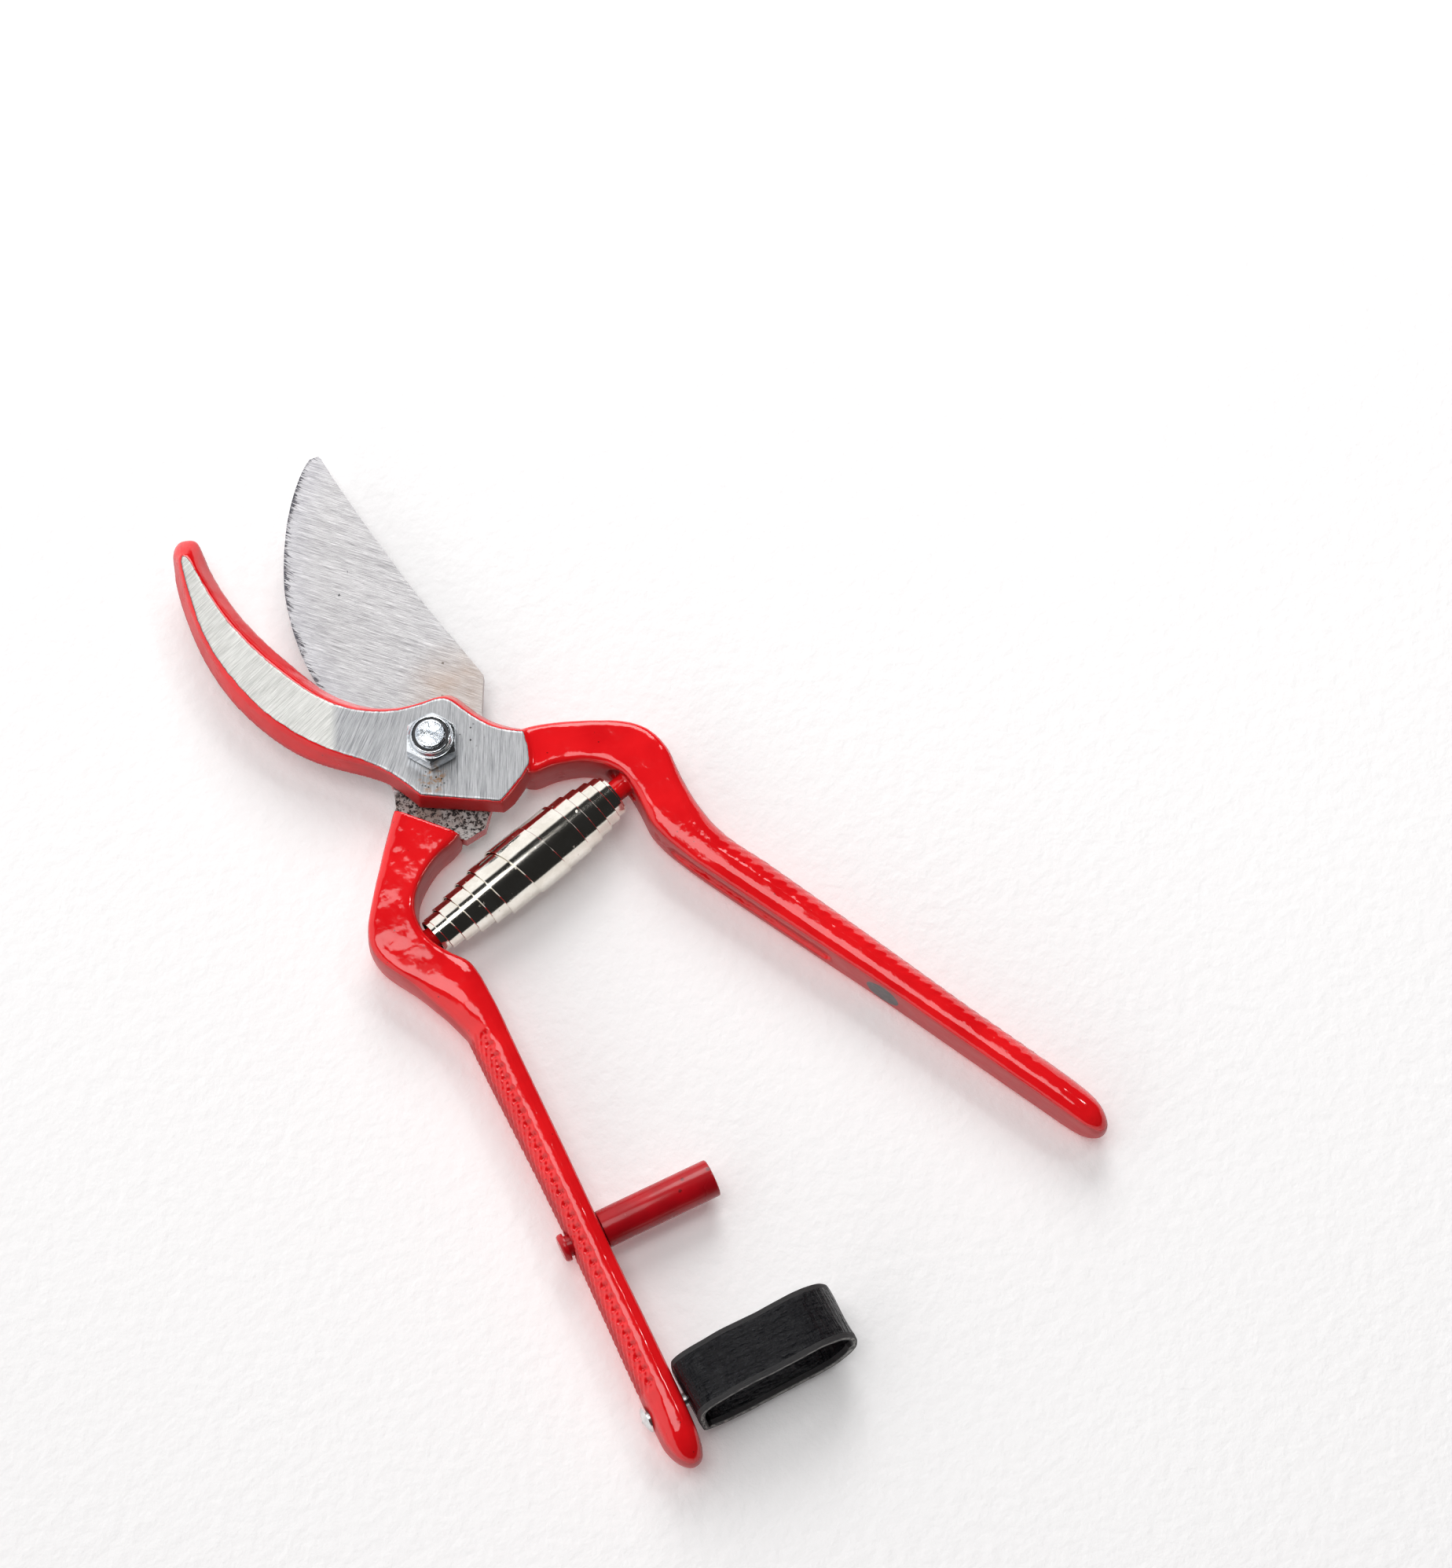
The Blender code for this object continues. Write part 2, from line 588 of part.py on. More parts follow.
def make_stop_pin(enamel):
    profile = riveted_end(PIN_SHANK_RADIUS, PIN_HEAD_RADIUS, 1.2, -PIN_HEAD_SEAT)
    profile += [
        (PIN_SHANK_RADIUS, GAP), (PIN_RADIUS - 0.2, GAP), (PIN_RADIUS, GAP + 0.2),
        (PIN_RADIUS, PIN_LENGTH - 0.25), (PIN_RADIUS - 0.25, PIN_LENGTH),
    ]
    return lying_turned("stop_pin", profile, (*PIN_FOOT, MID_HEIGHT), PIN_ANGLE, enamel)


def make_strap_rivet(steel):
    tail = GAP + STRAP_TAB_DEPTH + GAP
    profile = riveted_end(RIVET_SHANK_RADIUS, RIVET_HEAD_RADIUS, 1.0, -RIVET_HEAD_SEAT)
    profile += [
        (RIVET_SHANK_RADIUS, tail), (RIVET_HEAD_RADIUS - 0.2, tail),
        (RIVET_HEAD_RADIUS - 0.5, tail + 0.5),
    ]
    return lying_turned("strap_rivet", profile, (*STRAP_FOOT, MID_HEIGHT), STRAP_ANGLE, steel, 16)


def make_strap_tab(leather):
    """The riveted ends of the strap, flat on the inner face of the handle."""
    half = STRAP_WIDTH / 2
    low = (GAP, -half, -TAB_HALF_HEIGHT)
    high = (GAP + STRAP_TAB_DEPTH, half, TAB_HALF_HEIGHT)
    tab = cutter_box("strap_tab", low, high)
    tab.data.materials.append(leather)
    place(tab, (*STRAP_FOOT, MID_HEIGHT), STRAP_ANGLE)
    hole_radius = RIVET_SHANK_RADIUS + HOLE_PLAY
    profile = [(hole_radius, -PAST_HANDLE), (hole_radius, PAST_HANDLE)]
    point = (*STRAP_FOOT, MID_HEIGHT)
    hole = lying_turned("tab_hole_cutter", profile, point, STRAP_ANGLE, sides=16)
    combine(tab, hole, "DIFFERENCE")
    return tab


def loop_outline(radius, straight):
    """Round-ended outline in the plane of distance and height, about the loop's hinge axis."""
    outline = []
    for i in range(13):
        turn = math.pi / 2 + math.pi * i / 12
        outline.append((radius * math.cos(turn), radius * math.sin(turn)))
    for i in range(13):
        turn = -math.pi / 2 + math.pi * i / 12
        outline.append((straight + radius * math.cos(turn), radius * math.sin(turn)))
    return outline


def make_strap_loop(leather):
    radius = LOOP_HEIGHT / 2
    straight = LOOP_LENGTH - LOOP_HEIGHT
    half = STRAP_WIDTH / 2
    outer = loop_outline(radius, straight)
    inner = loop_outline(radius - STRAP_THICKNESS, straight)
    rings = [
        [(x, -half, z) for x, z in outer],
        [(x, half, z) for x, z in outer],
        [(x, half, z) for x, z in inner],
        [(x, -half, z) for x, z in inner],
    ]
    loop = loft("strap_loop", rings, True, leather)
    foot = Vector(STRAP_FOOT) + Vector(polar(LOOP_START + radius, STRAP_ANGLE))
    height = radius * math.cos(LOOP_LEAN) + half * math.sin(LOOP_LEAN) + 0.1
    place(loop, (foot.x, foot.y, height), STRAP_ANGLE)
    loop.rotation_euler.x = -LOOP_LEAN
    return loop


def main():
    clear_scene()
    enamel = make_material("red_enamel", (0.70, 0.01, 0.012), 0.28, 0.0)
    pin_enamel = make_material("crimson_enamel", (0.55, 0.01, 0.015), 0.35, 0.0)
    zinc = make_material("zinc_plate", (0.62, 0.65, 0.68), 0.25, 1.0)
    nickel = make_material("nickel_plate", (0.72, 0.69, 0.62), 0.12, 1.0)
    nylon = make_material("dark_nylon", (0.03, 0.03, 0.035), 0.5, 0.0)
    leather = make_material("black_leather", (0.012, 0.012, 0.014), 0.4, 0.0)
    rivet_steel = make_material("rivet_steel", (0.68, 0.68, 0.67), 0.3, 1.0)

    hook_arm = make_hook_arm(enamel)
    blade_arm = make_blade_arm(enamel)
    held_by_hook = [make_pivot_bolt(zinc), make_lock_nut(zinc), make_nut_insert(nylon)]
    held_by_hook.append(make_spring(nickel))
    held_by_blade = [make_stop_pin(pin_enamel), make_strap_tab(leather)]
    held_by_blade += [make_strap_rivet(rivet_steel), make_strap_loop(leather)]
    bpy.context.view_layer.update()
    for parent, pieces in ((hook_arm, held_by_hook), (blade_arm, held_by_blade)):
        for piece in pieces:
            attach(piece, parent)


main()
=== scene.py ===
"""Looks of the bypass pruning shears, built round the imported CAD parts.

Objects are in metres in the frame of the CAD: the origin on the pivot axis, +Y to the tips, +Z up.
The numbers for shapes are in millimetres, and those for textures, lamps and camera in metres.
"""

import math

import bmesh
import bpy
import numpy as np
from mathutils import Matrix, Vector, noise
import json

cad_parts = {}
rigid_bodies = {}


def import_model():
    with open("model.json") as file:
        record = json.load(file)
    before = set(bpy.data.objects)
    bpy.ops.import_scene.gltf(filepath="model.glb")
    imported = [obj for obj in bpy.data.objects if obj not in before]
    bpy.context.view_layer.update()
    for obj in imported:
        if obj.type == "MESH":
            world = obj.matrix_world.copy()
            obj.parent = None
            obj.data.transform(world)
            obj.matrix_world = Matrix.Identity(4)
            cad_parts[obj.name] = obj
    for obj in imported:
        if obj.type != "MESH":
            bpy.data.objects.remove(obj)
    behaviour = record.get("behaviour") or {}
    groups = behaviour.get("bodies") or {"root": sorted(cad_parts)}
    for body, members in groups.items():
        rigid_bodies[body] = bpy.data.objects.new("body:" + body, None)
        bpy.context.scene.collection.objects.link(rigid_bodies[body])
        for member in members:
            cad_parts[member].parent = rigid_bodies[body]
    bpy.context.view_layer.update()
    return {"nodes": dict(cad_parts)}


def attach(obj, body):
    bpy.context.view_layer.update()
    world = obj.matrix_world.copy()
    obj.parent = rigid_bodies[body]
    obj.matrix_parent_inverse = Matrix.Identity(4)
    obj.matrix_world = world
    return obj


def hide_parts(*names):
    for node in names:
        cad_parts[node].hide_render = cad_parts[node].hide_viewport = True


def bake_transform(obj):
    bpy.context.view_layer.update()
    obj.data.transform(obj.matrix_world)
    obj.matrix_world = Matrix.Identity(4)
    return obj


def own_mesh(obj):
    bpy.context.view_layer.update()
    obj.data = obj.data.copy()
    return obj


MM = 0.001
MERGE_DISTANCE = 0.002 * MM

# Directions in plan of the grinding marks, in degrees from +X.
PIVOT_GRAIN = 51.5
HOOK_GRAIN = 8.0
BLADE_GRAIN = -56.5

HOOK_SEAT = Vector((22.343, -23.876, 5.75))
BLADE_SEAT = Vector((-20.312, -25.627, 5.75))

# Heights of the handles' middle and of the hook plate's two ground faces.
MID_HEIGHT = 5.0
PLATE_TOP = 10.5
PLATE_UNDERSIDE = 6.6

# Where the stop pin and the strap stand on the blade arm's handle, and their directions in plan.
PIN_FOOT = (-27.9, -81.4)
PIN_ANGLE = math.radians(-12.4)
STRAP_FOOT = (-34.2, -111.2)
STRAP_ANGLE = math.radians(-10.5)


# ---- Working with objects ----


def make_active(obj):
    for other in bpy.context.selected_objects:
        other.select_set(False)
    obj.select_set(True)
    bpy.context.view_layer.objects.active = obj


def put_in_scene(name, data):
    """A new object in the scene that holds this mesh, light or camera."""
    obj = bpy.data.objects.new(name, data)
    bpy.context.scene.collection.objects.link(obj)
    return obj


def edit(obj):
    """Goes into edit mode on this object alone, with all of its mesh selected."""
    make_active(obj)
    bpy.ops.object.mode_set(mode="EDIT")
    bpy.ops.mesh.select_all(action="SELECT")


def object_mode():
    bpy.ops.object.mode_set(mode="OBJECT")


def apply_modifier(obj, kind, **settings):
    make_active(obj)
    modifier = obj.modifiers.new(kind.title(), kind)
    for name, value in settings.items():
        setattr(modifier, name, value)
    bpy.ops.object.modifier_apply(modifier=modifier.name)


def bevel(obj, width, segments, degrees):
    apply_modifier(
        obj, "BEVEL", width=width * MM, segments=segments, limit_method="ANGLE",
        angle_limit=math.radians(degrees),
    )


def settle(obj):
    """Bakes the object's place into its mesh, so that the object sits at the origin."""
    make_active(obj)
    bpy.ops.object.transform_apply(location=True, rotation=True, scale=True)


def smooth_shade(obj, degrees=30):
    make_active(obj)
    bpy.ops.object.shade_smooth_by_angle(angle=math.radians(degrees))


def name_it(name):
    """Names the object that an operator has just added."""
    obj = bpy.context.active_object
    obj.name = name
    obj.data.name = name
    return obj


def copy_node(node, name):
    """A copy of a CAD node's mesh as a new object, with its triangles joined up."""
    mesh = frame["nodes"][node].data.copy()
    mesh.name = name
    mesh.materials.clear()
    obj = put_in_scene(name, mesh)
    edit(obj)
    bpy.ops.mesh.remove_doubles(threshold=MERGE_DISTANCE)
    bpy.ops.mesh.customdata_custom_splitnormals_clear()
    object_mode()
    return obj


def cut(obj, point, normal, keep_outer):
    """Cuts the object by a plane and closes it, keeping the side of the normal or the other."""
    edit(obj)
    bpy.ops.mesh.bisect(
        plane_co=point, plane_no=normal, use_fill=True,
        clear_inner=keep_outer, clear_outer=not keep_outer, threshold=0.0005 * MM,
    )
    object_mode()


def slice_up(obj, step):
    """Cuts the faces into cells of about this size, so that an attribute can vary over them."""
    bm = bmesh.new()
    bm.from_mesh(obj.data)
    low, high = (Vector(corner) for corner in (obj.bound_box[0], obj.bound_box[6]))
    for axis in (0, 1):
        normal = Vector((0.0, 0.0, 0.0))
        normal[axis] = 1.0
        for i in range(1, int((high[axis] - low[axis]) / (step * MM)) + 1):
            point = normal * (low[axis] + i * step * MM)
            whole = [*bm.verts, *bm.edges, *bm.faces]
            bmesh.ops.bisect_plane(bm, geom=whole, dist=1e-7, plane_co=point, plane_no=normal)
    bm.to_mesh(obj.data)
    bm.free()


def boolean(obj, other, operation):
    apply_modifier(obj, "BOOLEAN", operation=operation, object=other, solver="EXACT")
    bpy.data.objects.remove(other)


def finish_piece(obj, material, body, slot, *nodes):
    """Gives a finished piece its material and puts it on its body in place of the CAD nodes."""
    if material:
        obj.data.materials.clear()
        obj.data.materials.append(material)
    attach(obj, body)
    if nodes:
        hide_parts(*nodes)
    return obj


def points_of(obj):
    points = np.empty(len(obj.data.vertices) * 3)
    obj.data.vertices.foreach_get("co", points)
    return points.reshape(-1, 3) / MM


def normals_of(obj):
    normals = np.empty(len(obj.data.vertices) * 3)
    obj.data.vertices.foreach_get("normal", normals)
    return normals.reshape(-1, 3)


def put_points(obj, points):
    obj.data.vertices.foreach_set("co", (points * MM).ravel())
    obj.data.update()


def put_attribute(obj, name, values):
    attribute = obj.data.attributes.new(name, "FLOAT", "POINT")
    attribute.data.foreach_set("value", values.astype(np.float32))


def noise_at(points, scale, seed):
    """Smooth noise from -1 to 1 at points in millimetres; scale is the size of its lumps."""
    shift = Vector((seed * 17.3, seed * 5.9, seed * 11.1))
    return np.array([noise.noise(Vector(p) / scale + shift) for p in points])


def ramp(values, low, high):
    """0 below low, 1 above high and smooth between."""
    t = np.clip((values - low) / (high - low), 0.0, 1.0)
    return t * t * (3 - 2 * t)


def smooth_by_weight(obj, weights, rounds):
    """Relaxes the surface where the weights are high."""
    group = obj.vertex_groups.new(name="relax")
    levels = np.round(weights * 10).astype(int)
    for level in range(1, 11):
        group.add(np.flatnonzero(levels == level).tolist(), level / 10, "REPLACE")
    apply_modifier(obj, "SMOOTH", factor=0.5, iterations=rounds, vertex_group="relax")
    obj.vertex_groups.clear()


def flat_outline(obj, height):
    """The plan segments, in millimetres, round the flat faces that look up at this height."""
    bm = bmesh.new()
    bm.from_mesh(obj.data)
    flat = set()
    for face in bm.faces:
        if face.normal.z > 0.999 and abs(face.calc_center_median().z / MM - height) < 0.01:
            flat.add(face)
    segments = []
    for edge in bm.edges:
        if len(flat.intersection(edge.link_faces)) == 1:
            a, b = (vert.co.xy / MM for vert in edge.verts)
            if min(a.length, b.length) > 3.5:
                segments.append((a.x, a.y, b.x, b.y))
    bm.free()
    return np.array(segments)


def distance_from(points, segments):
    """Plan distance in millimetres of each point from the nearest of the segments."""
    best = np.full(len(points), 1e9)
    for ax, ay, bx, by in segments:
        along = np.array([bx - ax, by - ay])
        t = ((points[:, 0] - ax) * along[0] + (points[:, 1] - ay) * along[1]) / (along @ along)
        t = np.clip(t, 0.0, 1.0)
        gap = np.hypot(points[:, 0] - ax - t * along[0], points[:, 1] - ay - t * along[1])
        best = np.minimum(best, gap)
    return best


def inside_of(points, segments):
    """Which of the points are inside the outline in plan."""
    inside = np.zeros(len(points), bool)
    for ax, ay, bx, by in segments:
        crosses = (ay > points[:, 1]) != (by > points[:, 1])
        x = ax + (points[:, 1] - ay) / (by - ay if by != ay else 1e-9) * (bx - ax)
        inside ^= crosses & (points[:, 0] < x)
    return inside


# ---- Shader building ----

# Linear colours. A pair is the two that a finish varies between.
ENAMEL = ((0.80, 0.0060, 0.0100), (0.95, 0.0110, 0.0150))
SHADED_ENAMEL = (0.36, 0.005, 0.008)
ENAMEL_SPECK = (0.12, 0.004, 0.004)
PIVOT_PLATE_STEEL = ((0.20, 0.205, 0.215), (0.58, 0.585, 0.60))
HOOK_STEEL = ((0.36, 0.36, 0.345), (0.68, 0.68, 0.655))
BLADE_STEEL = ((0.24, 0.235, 0.24), (0.52, 0.51, 0.515))
EDGE_BURR = (0.035, 0.033, 0.04)
EDGE_BLUE = (0.42, 0.43, 0.52)
PIT = (0.05, 0.05, 0.055)
BROWN_STAIN = (0.34, 0.22, 0.14)
SHELF_STEEL = (0.50, 0.48, 0.46)
SHELF_STAIN = (0.30, 0.20, 0.15)
GRIME = (0.03, 0.025, 0.025)
RUST = (0.36, 0.17, 0.05)
BLACK_DIRT = (0.02, 0.018, 0.015)
RIM_DARK_LINE = (0.10, 0.06, 0.06)
WORN_CASTING = ((0.05, 0.045, 0.045), (0.16, 0.15, 0.15))
NICKEL = ((0.78, 0.74, 0.66), (0.90, 0.87, 0.80))
NICKEL_RUB = (0.45, 0.40, 0.33)
LEATHER = ((0.0035, 0.0035, 0.005), (0.010, 0.0105, 0.014))
LEATHER_EDGE = ((0.022, 0.021, 0.022), (0.34, 0.33, 0.31))
NYLON = ((0.012, 0.012, 0.014), (0.035, 0.035, 0.04))
PAPER = ((0.925, 0.915, 0.915), (0.955, 0.95, 0.95))
ENAMEL_CHIP = (0.08, 0.004, 0.004)
TANG_ENAMEL = ((0.74, 0.010, 0.012), (0.45, 0.008, 0.010))
CRIMSON = ((0.52, 0.005, 0.011), (0.40, 0.004, 0.009))
NUT_ZINC = ((0.55, 0.60, 0.66), (0.86, 0.90, 0.93))
BOLT_ZINC = ((0.45, 0.50, 0.56), (0.90, 0.94, 0.98))
ALUMINIUM = ((0.60, 0.60, 0.60), (0.85, 0.85, 0.84))
STUDIO = ((1.0, 0.985, 0.985), (0.02, 0.02, 0.02))


def wire(tree, value, socket):
    if isinstance(value, bpy.types.NodeSocket):
        tree.links.new(value, socket)
    else:
        socket.default_value = value


def add(tree, kind, *values, **settings):
    """A shader node with its settings, whose first inputs get the values; None skips one."""
    node = tree.nodes.new("ShaderNode" + kind)
    for name, value in settings.items():
        setattr(node, name, value)
    for value, socket in zip(values, node.inputs):
        if value is not None:
            wire(tree, value, socket)
    return node


def do(tree, operation, *values, clamp=False):
    return add(tree, "Math", *values, operation=operation, use_clamp=clamp).outputs[0]


def times(tree, *values, clamp=False):
    return do(tree, "MULTIPLY", *values, clamp=clamp)


def plus(tree, *values):
    return do(tree, "ADD", *values)


def spread(tree, value, low, high, smooth=True):
    """0 where the value is at or under low, 1 where it is at or over high."""
    kind = "SMOOTHSTEP" if smooth else "LINEAR"
    return add(tree, "MapRange", value, low, high, 0.0, 1.0, interpolation_type=kind).outputs[0]


# The numbers of a Mix node's factor, its two values and its result, for each kind of value.
MIX_SOCKETS = {"FLOAT": (0, 2, 3, 0), "VECTOR": (0, 4, 5, 1), "RGBA": (0, 6, 7, 2)}


def mix(tree, kind, *values):
    """A Mix node's result, for a share from 0 to 1 and the two values that it blends."""
    *inputs, result = MIX_SOCKETS[kind]
    node = add(tree, "Mix", data_type=kind)
    for value, number in zip(values, inputs):
        wire(tree, value, node.inputs[number])
    return node.outputs[result]


def mix_float(tree, share, first, second):
    return mix(tree, "FLOAT", share, first, second)


def blend_vectors(tree, share, first, second):
    return mix(tree, "VECTOR", share, first, second)


def blend_colors(tree, share, first, second):
    """Blends two colours, each a socket or three numbers."""
    pair = [(*color, 1.0) if isinstance(color, tuple) else color for color in (first, second)]
    return mix(tree, "RGBA", share, *pair)


def dot(tree, vector, direction):
    node = add(tree, "VectorMath", vector, direction, operation="DOT_PRODUCT")
    return node.outputs["Value"]


def lumps(tree, vector, scale, detail=2.0, roughness=0.5):
    """Noise from 0 to 1; the scale is in lumps per metre."""
    node = add(tree, "TexNoise", vector)
    node.inputs["Scale"].default_value = scale
    node.inputs["Detail"].default_value = detail
    node.inputs["Roughness"].default_value = roughness
    return node.outputs[0]


def mapped(tree, vector, degrees=0.0, scale=(1.0, 1.0, 1.0), shift=(0.0, 0.0, 0.0)):
    node = add(tree, "Mapping", vector, vector_type="TEXTURE")
    node.inputs["Location"].default_value = shift
    node.inputs["Rotation"].default_value = (0.0, 0.0, math.radians(degrees))
    node.inputs["Scale"].default_value = scale
    return node.outputs[0]


def new_group(name, inputs, outputs):
    tree = bpy.data.node_groups.new(name, "ShaderNodeTree")
    for label, kind, start in inputs:
        socket = tree.interface.new_socket(label, in_out="INPUT", socket_type="NodeSocket" + kind)
        if start is not None:
            socket.default_value = start
    for label, kind in outputs:
        tree.interface.new_socket(label, in_out="OUTPUT", socket_type="NodeSocket" + kind)
    return tree, tree.nodes.new("NodeGroupInput"), tree.nodes.new("NodeGroupOutput")


def use(tree, group, *values):
    node = tree.nodes.new("ShaderNodeGroup")
    node.node_tree = group
    for value, socket in zip(values, node.inputs):
        if value is not None:
            wire(tree, value, socket)
    return node


def group_grinding():
    """Fine parallel scratches: a shade from 0 to 1 and a height. The vector's X runs along them."""
    tree, start, end = new_group(
        "grinding marks", [("Vector", "Vector", None)], [("Shade", "Float"), ("Height", "Float")]
    )
    vector = start.outputs["Vector"]
    long = mapped(tree, vector, scale=(0.012, 0.00034, 0.012))
    fine = mapped(tree, vector, scale=(0.0030, 0.00012, 0.003))
    wide = mapped(tree, vector, scale=(0.024, 0.0036, 0.024))
    wobble = lumps(tree, fine, 1.0, 3.0, 0.65)
    streak = lumps(tree, long, 1.0, 3.0, 0.6)
    band = lumps(tree, wide, 1.0, 1.0)
    mixed = plus(tree, times(tree, wobble, 0.66), times(tree, streak, 0.27))
    mixed = plus(tree, mixed, times(tree, band, 0.07))
    shade = spread(tree, mixed, 0.37, 0.63, False)
    tree.links.new(shade, end.inputs["Shade"])
    tree.links.new(mixed, end.inputs["Height"])
    return tree


def group_specks():
    """Scattered specks as a mask, for a density from 0 to 1 and a scale in cells per metre."""
    tree, start, end = new_group(
        "specks",
        [("Vector", "Vector", None), ("Scale", "Float", 900.0), ("Density", "Float", 0.1)],
        [("Mask", "Float")],
    )
    vector, scale, density = start.outputs[:3]
    cells = add(tree, "TexVoronoi", vector)
    wire(tree, scale, cells.inputs["Scale"])
    shape = lumps(tree, vector, 5200.0, 2.0)
    away = plus(tree, cells.outputs["Distance"], times(tree, shape, 0.35))
    speck = spread(tree, away, 0.48, 0.36)
    red = add(tree, "SeparateColor", cells.outputs["Color"]).outputs[0]
    chosen = do(tree, "LESS_THAN", red, density)
    tree.links.new(times(tree, speck, chosen), end.inputs["Mask"])
    return tree


def group_cast_skin():
    """Dips and orange peel of thick enamel on a rough casting, as a height."""
    tree, start, end = new_group(
        "enamel skin", [("Vector", "Vector", None), ("Peel", "Float", 1.0)], [("Height", "Float")]
    )
    vector = start.outputs["Vector"]
    waves = lumps(tree, vector, 150.0, 1.0)
    dips = lumps(tree, vector, 420.0, 1.5)
    peel = lumps(tree, vector, 1500.0, 1.0)
    height = plus(tree, waves, times(tree, dips, 0.28))
    small = times(tree, times(tree, peel, 0.035), start.outputs["Peel"])
    tree.links.new(plus(tree, height, small), end.inputs["Height"])
    return tree


def new_material(name):
    material = bpy.data.materials.new(name)
    material.use_nodes = True
    tree = material.node_tree
    return material, tree, tree.nodes["Principled BSDF"]


def give(tree, shader, name, value):
    wire(tree, value, shader.inputs[name])


def object_place(tree):
    return tree.nodes.new("ShaderNodeTexCoord").outputs["Object"]


def band_place(tree):
    """Places along and across the strap's band, in metres."""
    return add(tree, "UVMap", uv_map="band").outputs[0]


def attribute_value(tree, name):
    node = tree.nodes.new("ShaderNodeAttribute")
    node.attribute_name = name
    return node.outputs["Fac"]


def bump_into(tree, shader, height, distance, strength=1.0):
    bump = tree.nodes.new("ShaderNodeBump")
    bump.inputs["Strength"].default_value = strength
    bump.inputs["Distance"].default_value = distance
    wire(tree, height, bump.inputs["Height"])
    give(tree, shader, "Normal", bump.outputs[0])


def reach(tree, vector, center, radius, fade):
    """1 near the centre, 0 past the radius, in plan and millimetres."""
    flat = add(tree, "VectorMath", vector, (1.0, 1.0, 0.0), operation="MULTIPLY").outputs[0]
    spot = (center[0] * MM, center[1] * MM, 0.0)
    gap = add(tree, "VectorMath", flat, spot, operation="DISTANCE").outputs["Value"]
    return spread(tree, gap, radius * MM, (radius - fade) * MM)


def speckled(tree, vector, color, scale, density, share, tint):
    """The colour with specks of a tint, which cover it by this share."""
    mask = use(tree, specks, vector, scale, density).outputs[0]
    return blend_colors(tree, times(tree, mask, share), color, tint)


def enamel_color(tree, vector):
    tone = lumps(tree, vector, 90.0, 2.0)
    color = blend_colors(tree, spread(tree, tone, 0.3, 0.7), *ENAMEL)
    return speckled(tree, vector, color, 1900.0, 0.012, 0.7, ENAMEL_SPECK)


def arm_enamel():
    """Red enamel with bare ground steel where the ground attribute is over zero."""
    material, tree, shader = new_material("red enamel and ground steel")
    vector = object_place(tree)
    ragged = times(tree, do(tree, "SUBTRACT", lumps(tree, vector, 900.0, 3.0, 0.7), 0.5), 0.42)
    ground = plus(tree, attribute_value(tree, "ground"), ragged)
    bare = spread(tree, ground, -0.02, 0.05)
    turning = dot(tree, vector, (0.78, -0.62, 0.0))
    near = mapped(tree, vector, PIVOT_GRAIN)
    left = mapped(tree, vector, PIVOT_GRAIN - 22.0)
    near = blend_vectors(tree, spread(tree, turning, 2.0 * MM, -12.0 * MM), near, left)
    far = mapped(tree, vector, HOOK_GRAIN)
    here = use(tree, grinding, near)
    there = use(tree, grinding, far)
    past = spread(tree, dot(tree, vector, (0.80, -0.60, 0.0)), -15.4 * MM, -17.4 * MM)
    shade = mix_float(tree, past, here.outputs["Shade"], there.outputs["Shade"])
    grain = mix_float(tree, past, here.outputs["Height"], there.outputs["Height"])
    dull = blend_colors(tree, shade, *PIVOT_PLATE_STEEL)
    pale = blend_colors(tree, shade, *HOOK_STEEL)
    steel = blend_colors(tree, past, dull, pale)
    dirt = use(tree, specks, vector, 1500.0, 0.55).outputs[0]
    low = reach(tree, vector, (-3.6, -5.0), 3.4, 2.4)
    right = reach(tree, vector, (6.0, -2.4), 3.2, 2.6)
    rust = spread(tree, lumps(tree, vector, 1300.0, 3.0, 0.7), 0.50, 0.62)
    stained = times(tree, rust, low)
    steel = blend_colors(tree, times(tree, stained, 0.75), steel, RUST)
    black = times(tree, dirt, do(tree, "MAXIMUM", low, right), clamp=True)
    steel = blend_colors(tree, black, steel, BLACK_DIRT)
    # The ground steel is darkened in a thin line along its rim, where it meets the enamel.
    rim = spread(tree, ground, 0.22, 0.02)
    steel = blend_colors(tree, times(tree, rim, 0.6), steel, RIM_DARK_LINE)
    # Painted shade: steep walls, picked out by the wall attribute, are darkened towards
    # SHADED_ENAMEL.
    wall = attribute_value(tree, "wall")
    enamel = blend_colors(tree, times(tree, wall, 0.75), enamel_color(tree, vector), SHADED_ENAMEL)
    color = blend_colors(tree, bare, enamel, steel)
    worn = plus(tree, attribute_value(tree, "worn"), times(tree, ragged, 1.4))
    worn = spread(tree, worn, 0.0, 0.15)
    grey = blend_colors(tree, lumps(tree, vector, 1200.0, 3.0), *WORN_CASTING)
    color = blend_colors(tree, worn, color, grey)
    give(tree, shader, "Base Color", color)
    give(tree, shader, "Metallic", bare)
    enamel_rough = mix_float(tree, worn, mix_float(tree, wall, 0.09, 0.46), 0.5)
    steel_rough = mix_float(tree, shade, 0.42, 0.30)
    give(tree, shader, "Roughness", mix_float(tree, bare, enamel_rough, steel_rough))
    coat = do(tree, "SUBTRACT", 1.0, do(tree, "MAXIMUM", bare, worn), clamp=True)
    give(tree, shader, "Coat Weight", times(tree, coat, 0.12))
    shader.inputs["Coat Roughness"].default_value = 0.05
    shader.inputs["Specular IOR Level"].default_value = 0.55
    skin = use(tree, cast_skin, vector, 1.0).outputs[0]
    height = mix_float(tree, bare, skin, times(tree, grain, 0.12))
    height = do(tree, "SUBTRACT", height, times(tree, bare, 0.10))
    bump_into(tree, shader, height, 0.35 * MM)
    return material


